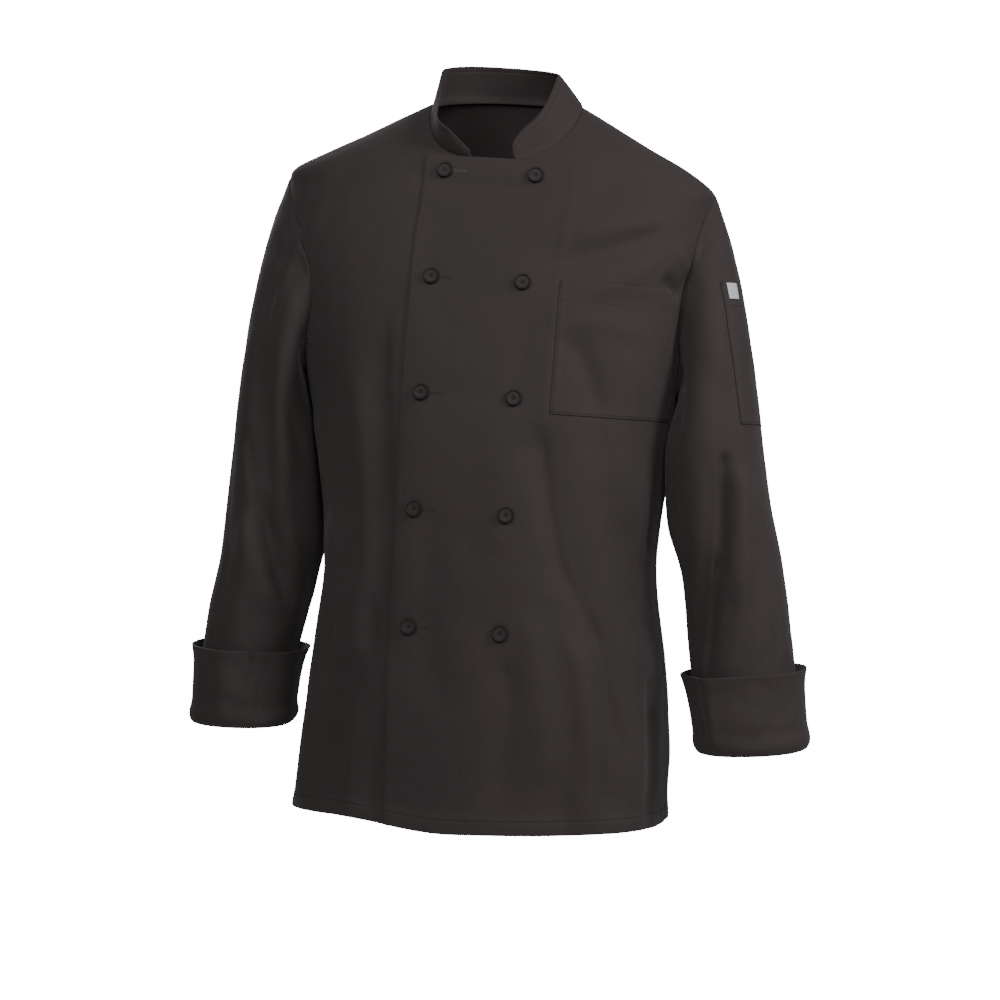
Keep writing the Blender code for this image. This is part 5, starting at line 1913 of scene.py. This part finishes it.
def wear_group() -> bpy.types.NodeTree:
    """Wear over the whole jacket: slow fading, small crumples and a little lint."""
    wiring = new_group(Effect.WEAR, {"Crumple Size": 0.016}, ("Fade", "Crumple", "Lint"))
    given = wiring.add("NodeGroupInput").outputs
    where = wiring.where()
    fade = wiring.noise(where, 7.0, 4.0, Roughness=0.62)
    scale = wiring.math("DIVIDE", 1.0, given["Crumple Size"])
    tall = wiring.add("ShaderNodeMapping", {"Vector": where, "Scale": (1.0, 1.0, 0.55)}).outputs[0]
    crumple = wiring.noise(tall, scale, 2.0, Roughness=0.45)
    specks = wiring.add("ShaderNodeTexVoronoi", {"Vector": where, "Scale": 130.0, "Randomness": 1.0})
    dot = wiring.math("LESS_THAN", specks.outputs["Distance"], 0.055)
    some = wiring.math("GREATER_THAN", wiring.noise(where, 33.0, 1.0), 0.66)
    lint = wiring.math("MULTIPLY", dot, some)
    wiring.add("NodeGroupOutput", {"Fade": fade, "Crumple": crumple, "Lint": lint})
    return wiring.tree


EFFECT_MAKERS = {Effect.TWILL: twill_group, Effect.SEAM: seam_group, Effect.WEAR: wear_group}


@dataclass
class Effects:
    """The shared node groups, each built once."""

    groups: dict[Effect, bpy.types.NodeTree] = field(default_factory=dict)

    def place(
        self, wiring: Wiring, effect: Effect, **values: float
    ) -> bpy.types.bpy_prop_collection:
        """Puts an effect into a finish and gives back its outputs."""
        if effect not in self.groups:
            self.groups[effect] = EFFECT_MAKERS[effect]()
        node = wiring.add("ShaderNodeGroup", node_tree=self.groups[effect])
        for name, value in values.items():
            node.inputs[name.replace("_", " ").title()].default_value = value
        return node.outputs


def new_material(name: str) -> tuple[bpy.types.Material, Wiring, bpy.types.Node]:
    """A material, its wiring and its shader."""
    material = bpy.data.materials.new(name)
    material.use_nodes = True
    return material, Wiring(material.node_tree), material.node_tree.nodes["Principled BSDF"]


@dataclass(frozen=True)
class ClothFinish:
    """The jacket's worn dark twill."""

    name: str = "worn_dark_twill"
    dark: Colour = (0.0280, 0.0202, 0.0207, 1.0)
    light: Colour = (0.0460, 0.0350, 0.0358, 1.0)
    worn: Colour = (0.0620, 0.0510, 0.0515, 1.0)
    lint: Colour = (0.1500, 0.1450, 0.1400, 1.0)
    roughness: float = 0.78
    sheen: float = 0.10
    pitch: float = 0.0009
    twill_depth: float = 0.00008
    crumple_depth: float = 0.0017
    seam_depth: float = 0.00032
    crumple_size: float = 0.030
    crumple_strength: float = 0.6
    slub_share: float = 0.35
    worn_share: float = 0.14
    lint_share: float = 0.5

    def build(self, effects: Effects) -> bpy.types.Material:
        """Makes the material."""
        material, wiring, shader = new_material(self.name)
        wear = effects.place(wiring, Effect.WEAR, crumple_size=self.crumple_size)
        twill = effects.place(wiring, Effect.TWILL, pitch=self.pitch)
        seam = effects.place(wiring, Effect.SEAM, groove=0.0009, swell=0.0042)
        mottle = wiring.math("MULTIPLY_ADD", twill["Slub"], self.slub_share, wear["Fade"])
        colour = wiring.blend(wiring.math("SUBTRACT", mottle, 0.18), self.dark, self.light)
        for mark, share, tone in (
            (seam["Worn"], self.worn_share, self.worn), (wear["Lint"], self.lint_share, self.lint)
        ):
            colour = wiring.blend(wiring.math("MULTIPLY", mark, share), colour, tone)
        folds = wiring.bump(wear["Crumple"], self.crumple_depth, Strength=self.crumple_strength)
        sewn = wiring.bump(seam["Relief"], self.seam_depth, Normal=folds)
        wiring.feed(shader, {
            "Base Color": colour,
            "Roughness": wiring.math("MULTIPLY_ADD", wear["Fade"], 0.16, self.roughness - 0.08),
            "Sheen Weight": self.sheen,
            "Sheen Roughness": 0.45,
            "Sheen Tint": (0.80, 0.78, 0.78, 1.0),
            "Specular IOR Level": 0.30,
            "Normal": wiring.bump(twill["Relief"], self.twill_depth, Normal=sewn),
        })
        return material


@dataclass(frozen=True)
class ThreadFinish:
    """Dark sewing thread, a touch brighter than the cloth."""

    name: str = "dark_thread"
    dark: Colour = (0.024, 0.0195, 0.0197, 1.0)
    light: Colour = (0.048, 0.040, 0.0403, 1.0)
    roughness: float = 0.7
    twist: float = 0.00010

    def build(self) -> bpy.types.Material:
        """Makes the material."""
        material, wiring, shader = new_material(self.name)
        where = wiring.where()
        colour = wiring.blend(wiring.noise(where, 55.0, 2.0), self.dark, self.light)
        twist = wiring.bump(wiring.noise(where, 3600.0, 1.0), self.twist)
        wiring.feed(shader, {"Base Color": colour, "Roughness": self.roughness, "Normal": twist})
        return material


@dataclass(frozen=True)
class ButtonFinish:
    """Dark moulded plastic, rubbed a little on its high places; its groove and side get painted shade."""

    name: str = "dark_button"
    dark: Colour = (0.0265, 0.0205, 0.0209, 1.0)
    light: Colour = (0.0400, 0.0318, 0.0324, 1.0)
    # The near-black of the painted shade in the groove and round the side
    painted_shade: Colour = (0.0035, 0.0028, 0.0029, 1.0)
    roughness: float = 0.66
    scuff_depth: float = 0.00004

    def build(self) -> bpy.types.Material:
        """Makes the material."""
        material, wiring, shader = new_material(self.name)
        where = wiring.where()
        scuff = wiring.noise(where, 1700.0, 2.0)
        colour = wiring.blend(wiring.noise(where, 240.0, 3.0), self.dark, self.light)
        # Painted shade: the colour goes near-black in the groove and round the side, where shadow would
        # fall
        shade = wiring.add("ShaderNodeAttribute", attribute_name=PAINTED_SHADE_ATTRIBUTE).outputs["Fac"]
        wiring.feed(shader, {
            "Base Color": wiring.blend(shade, colour, self.painted_shade),
            "Specular IOR Level": 0.25,
            "Roughness": wiring.math("MULTIPLY_ADD", scuff, 0.2, self.roughness - 0.06),
            "Normal": wiring.bump(scuff, self.scuff_depth),
        })
        return material


@dataclass(frozen=True)
class LabelFinish:
    """A bare silvery woven tab."""

    name: str = "silver_woven_tab"
    dark: Colour = (0.30, 0.31, 0.33, 1.0)
    light: Colour = (0.68, 0.69, 0.71, 1.0)
    pitch: float = 0.0007
    roughness: float = 0.42
    weave_depth: float = 0.00012

    def build(self) -> bpy.types.Material:
        """Makes the material."""
        material, wiring, shader = new_material(self.name)
        place = wiring.add("ShaderNodeUVMap", uv_map=CLOTH_MAP).outputs[0]
        axes = wiring.add("ShaderNodeSeparateXYZ", {0: place}).outputs
        across, along = (wiring.wave(axis, 2 * math.pi / self.pitch) for axis in (axes[0], axes[1]))
        weave = wiring.math("MULTIPLY_ADD", wiring.math("MULTIPLY", across, along), 0.35, 0.6)
        woven = wiring.math("MULTIPLY", weave, 0.8)
        share = wiring.math("MULTIPLY_ADD", wiring.noise(place, 260.0, 2.0), 0.4, woven)
        wiring.feed(shader, {
            "Base Color": wiring.blend(share, self.dark, self.light),
            "Roughness": self.roughness,
            "Normal": wiring.bump(weave, self.weave_depth),
        })
        return material


# ---- Studio ----


@dataclass(frozen=True)
class Lamp:
    """One soft white light: where it stands, and how large and strong it is."""

    name: str
    place: tuple[float, float, float]
    size: float
    power: float


@dataclass
class Studio:
    """A pale floor, soft lights and the camera."""

    aim: tuple[float, float, float] = (0.0, 0.0, -0.40)
    floor_height: float = -1.45
    floor_radius: float = 2.1
    camera_turn: float = math.radians(12)
    camera_reach: float = 3.0
    camera_height: float = -0.351
    frame_pixels: float = 1000.0
    focal_pixels: float = 2752.0
    horizon_pixels: float = 430.0
    neck_pixels: float = 503.0
    sensor: float = 36.0
    backdrop: float = 16.0
    ambient: float = 0.13
    lamps: tuple[Lamp, ...] = (
        Lamp("key", (0.60, -1.9, 0.75), 0.8, 19.5),
        Lamp("fill", (-1.0, -2.4, 1.6), 1.4, 24.0),
        Lamp("side", (2.4, -0.95, 0.85), 1.0, 42.0),
        Lamp("behind", (-1.6, 2.2, 0.9), 1.6, 26.0),
    )

    def build(self) -> None:
        """Sets it all up."""
        self.light_world()
        for lamp in self.lamps:
            self.hang(lamp)
        self.lay_floor()
        self.set_camera()

    def light_world(self) -> None:
        """A white backdrop that lights the jacket only softly."""
        world = bpy.data.worlds.new("backdrop")
        world.use_nodes = True
        wiring = Wiring(world.node_tree)
        world.node_tree.nodes.clear()
        white = (1.0, 1.0, 1.0, 1.0)
        cast, seen = (
            wiring.add("ShaderNodeBackground", {"Color": white, "Strength": strength}).outputs[0]
            for strength in (self.ambient, self.backdrop)
        )
        camera = wiring.add("ShaderNodeLightPath").outputs["Is Camera Ray"]
        mixed = wiring.add("ShaderNodeMixShader", {0: camera, 1: cast, 2: seen})
        wiring.add("ShaderNodeOutputWorld", {"Surface": mixed.outputs[0]})
        bpy.context.scene.world = world

    def hang(self, lamp: Lamp) -> None:
        """Adds one soft light that faces the jacket."""
        data = bpy.data.lights.new(lamp.name, "AREA")
        data.shape = "DISK"
        data.size = lamp.size
        data.energy = lamp.power
        light = new_object(lamp.name, data)
        light.location = lamp.place
        facing = Vector(self.aim) - Vector(lamp.place)
        light.rotation_euler = facing.to_track_quat("-Z", "Y").to_euler()

    def lay_floor(self) -> None:
        """A pale disc that fades out towards its rim."""
        shape = bmesh.new()
        bmesh.ops.create_circle(shape, cap_ends=True, segments=96, radius=self.floor_radius)
        bmesh.ops.translate(shape, verts=shape.verts, vec=(0.0, 0.0, self.floor_height))
        mesh = bpy.data.meshes.new("floor")
        shape.to_mesh(mesh)
        shape.free()
        material, wiring, shader = new_material("pale_floor")
        level = {0: wiring.where(), 1: (1.0, 1.0, 0.0)}
        flat = wiring.add("ShaderNodeVectorMath", level, operation="MULTIPLY")
        reach = wiring.add("ShaderNodeVectorMath", {0: flat.outputs[0]}, operation="LENGTH")
        share = wiring.math("DIVIDE", reach.outputs["Value"], self.floor_radius)
        seen = wiring.add(
            "ShaderNodeMapRange",
            {"Value": share, "From Min": 0.35, "From Max": 0.98, "To Min": 1.0, "To Max": 0.0},
            interpolation_type="SMOOTHSTEP",
        )
        pale = (0.86, 0.86, 0.85, 1.0)
        wiring.feed(shader, {"Alpha": seen.outputs[0], "Base Color": pale, "Roughness": 0.9})
        mesh.materials.append(material)
        new_object("floor", mesh)

    def set_camera(self) -> None:
        """Stands the camera before the jacket and a little to its left."""
        turn = self.camera_turn
        pitch = math.atan((self.frame_pixels / 2 - self.horizon_pixels) / self.focal_pixels)
        right = Vector((math.cos(turn), math.sin(turn), 0.0))
        level = Vector((-math.sin(turn), math.cos(turn), 0.0))
        facing = level * math.cos(pitch) - Vector((0.0, 0.0, math.sin(pitch)))
        aside = (self.frame_pixels / 2 - self.neck_pixels) * self.camera_reach / self.focal_pixels
        data = bpy.data.cameras.new("camera")
        data.sensor_width = self.sensor
        data.lens = self.focal_pixels * self.sensor / self.frame_pixels
        camera = new_object("camera", data)
        camera.location = right * aside - level * self.camera_reach + Vector((0, 0, self.camera_height))
        camera.rotation_euler = facing.to_track_quat("-Z", "Y").to_euler()
        bpy.context.scene.camera = camera


# ---- The jacket ----


@dataclass
class Jacket:
    """The whole jacket: it builds each piece and then sews it."""

    effects: Effects = field(default_factory=Effects)

    def build(self) -> None:
        """Makes every piece in order."""
        self.cloth = ClothFinish().build(self.effects)
        self.sewing = Sewing(ThreadFinish().build())
        self.make_body()
        self.make_collar()
        for arm in (LEFT_ARM, RIGHT_ARM):
            self.make_arm(arm)
        buttons = Buttons()
        buttons.build(ButtonFinish().build())
        top, *others = buttons.buttonholes()
        worked = [Seam(StitchKind.BUTTONHOLE, others), Seam(StitchKind.BAR, buttons.threads())]
        self.sewing.sew("buttonholes_and_threads", worked)
        pale = ThreadFinish("pale_thread", (0.040, 0.034, 0.034, 1.0), (0.120, 0.110, 0.110, 1.0))
        Sewing(pale.build(), self.sewing.tree).sew("top_buttonhole", [Seam(StitchKind.BUTTONHOLE, [top])])

    def make(self, piece: ClothPiece, seams: list[Seam] | None = None) -> None:
        """Builds one piece of cloth with its sewing."""
        with_pieces = []
        if seams:
            with_pieces.append(self.sewing.sew(f"{piece.node}_stitches", seams))
        piece.build(self.cloth, with_pieces)

    def make_body(self) -> None:
        """The back, the two fronts and the chest pocket."""
        back = back_piece()
        hem = back.grid.line(Rim.FIRST_ROW, Front.hem_stitch).cut(TUCK, TUCK)
        self.make(back, [Seam(StitchKind.TOPSTITCH, [hem])])
        for side in (Side.RIGHT, Side.LEFT):
            front = Front(side)
            grid = front.grid()
            piece = ClothPiece(f"front_{side.word}", grid, front.seam(grid), rests_on=("back",))
            self.make(piece, front.sewing(grid))
            if side is Side.LEFT:
                pocket = ChestPocket()
                patch = pocket.piece(grid)
                self.make(patch, pocket.sewing(patch.grid))

    def make_collar(self) -> None:
        """The stand collar and its stitched edge."""
        collar = Collar()
        piece = collar.piece()
        line = piece.grid.line(Rim.LAST_ROW, collar.stitch)
        self.make(piece, [Seam(StitchKind.TOPSTITCH, [line])])

    def make_arm(self, arm: Arm) -> None:
        """One sleeve, its cuff and, on the left, its pocket with the tab."""
        grid = arm.grid()
        self.make(arm.sleeve(grid))
        self.make(arm.cuff())
        if arm.side is Side.LEFT:
            narrow = SleevePocket()
            pocket, label = narrow.pieces(grid)
            self.make(pocket, narrow.sewing(pocket.grid))
            label.build(LabelFinish().build(), [])


def main() -> None:
    """Loads the frame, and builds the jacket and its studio."""
    logging.basicConfig(level=logging.INFO, format="%(name)s: %(message)s")
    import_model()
    Jacket().build()
    Studio().build()


if __name__ == "__main__":
    main()
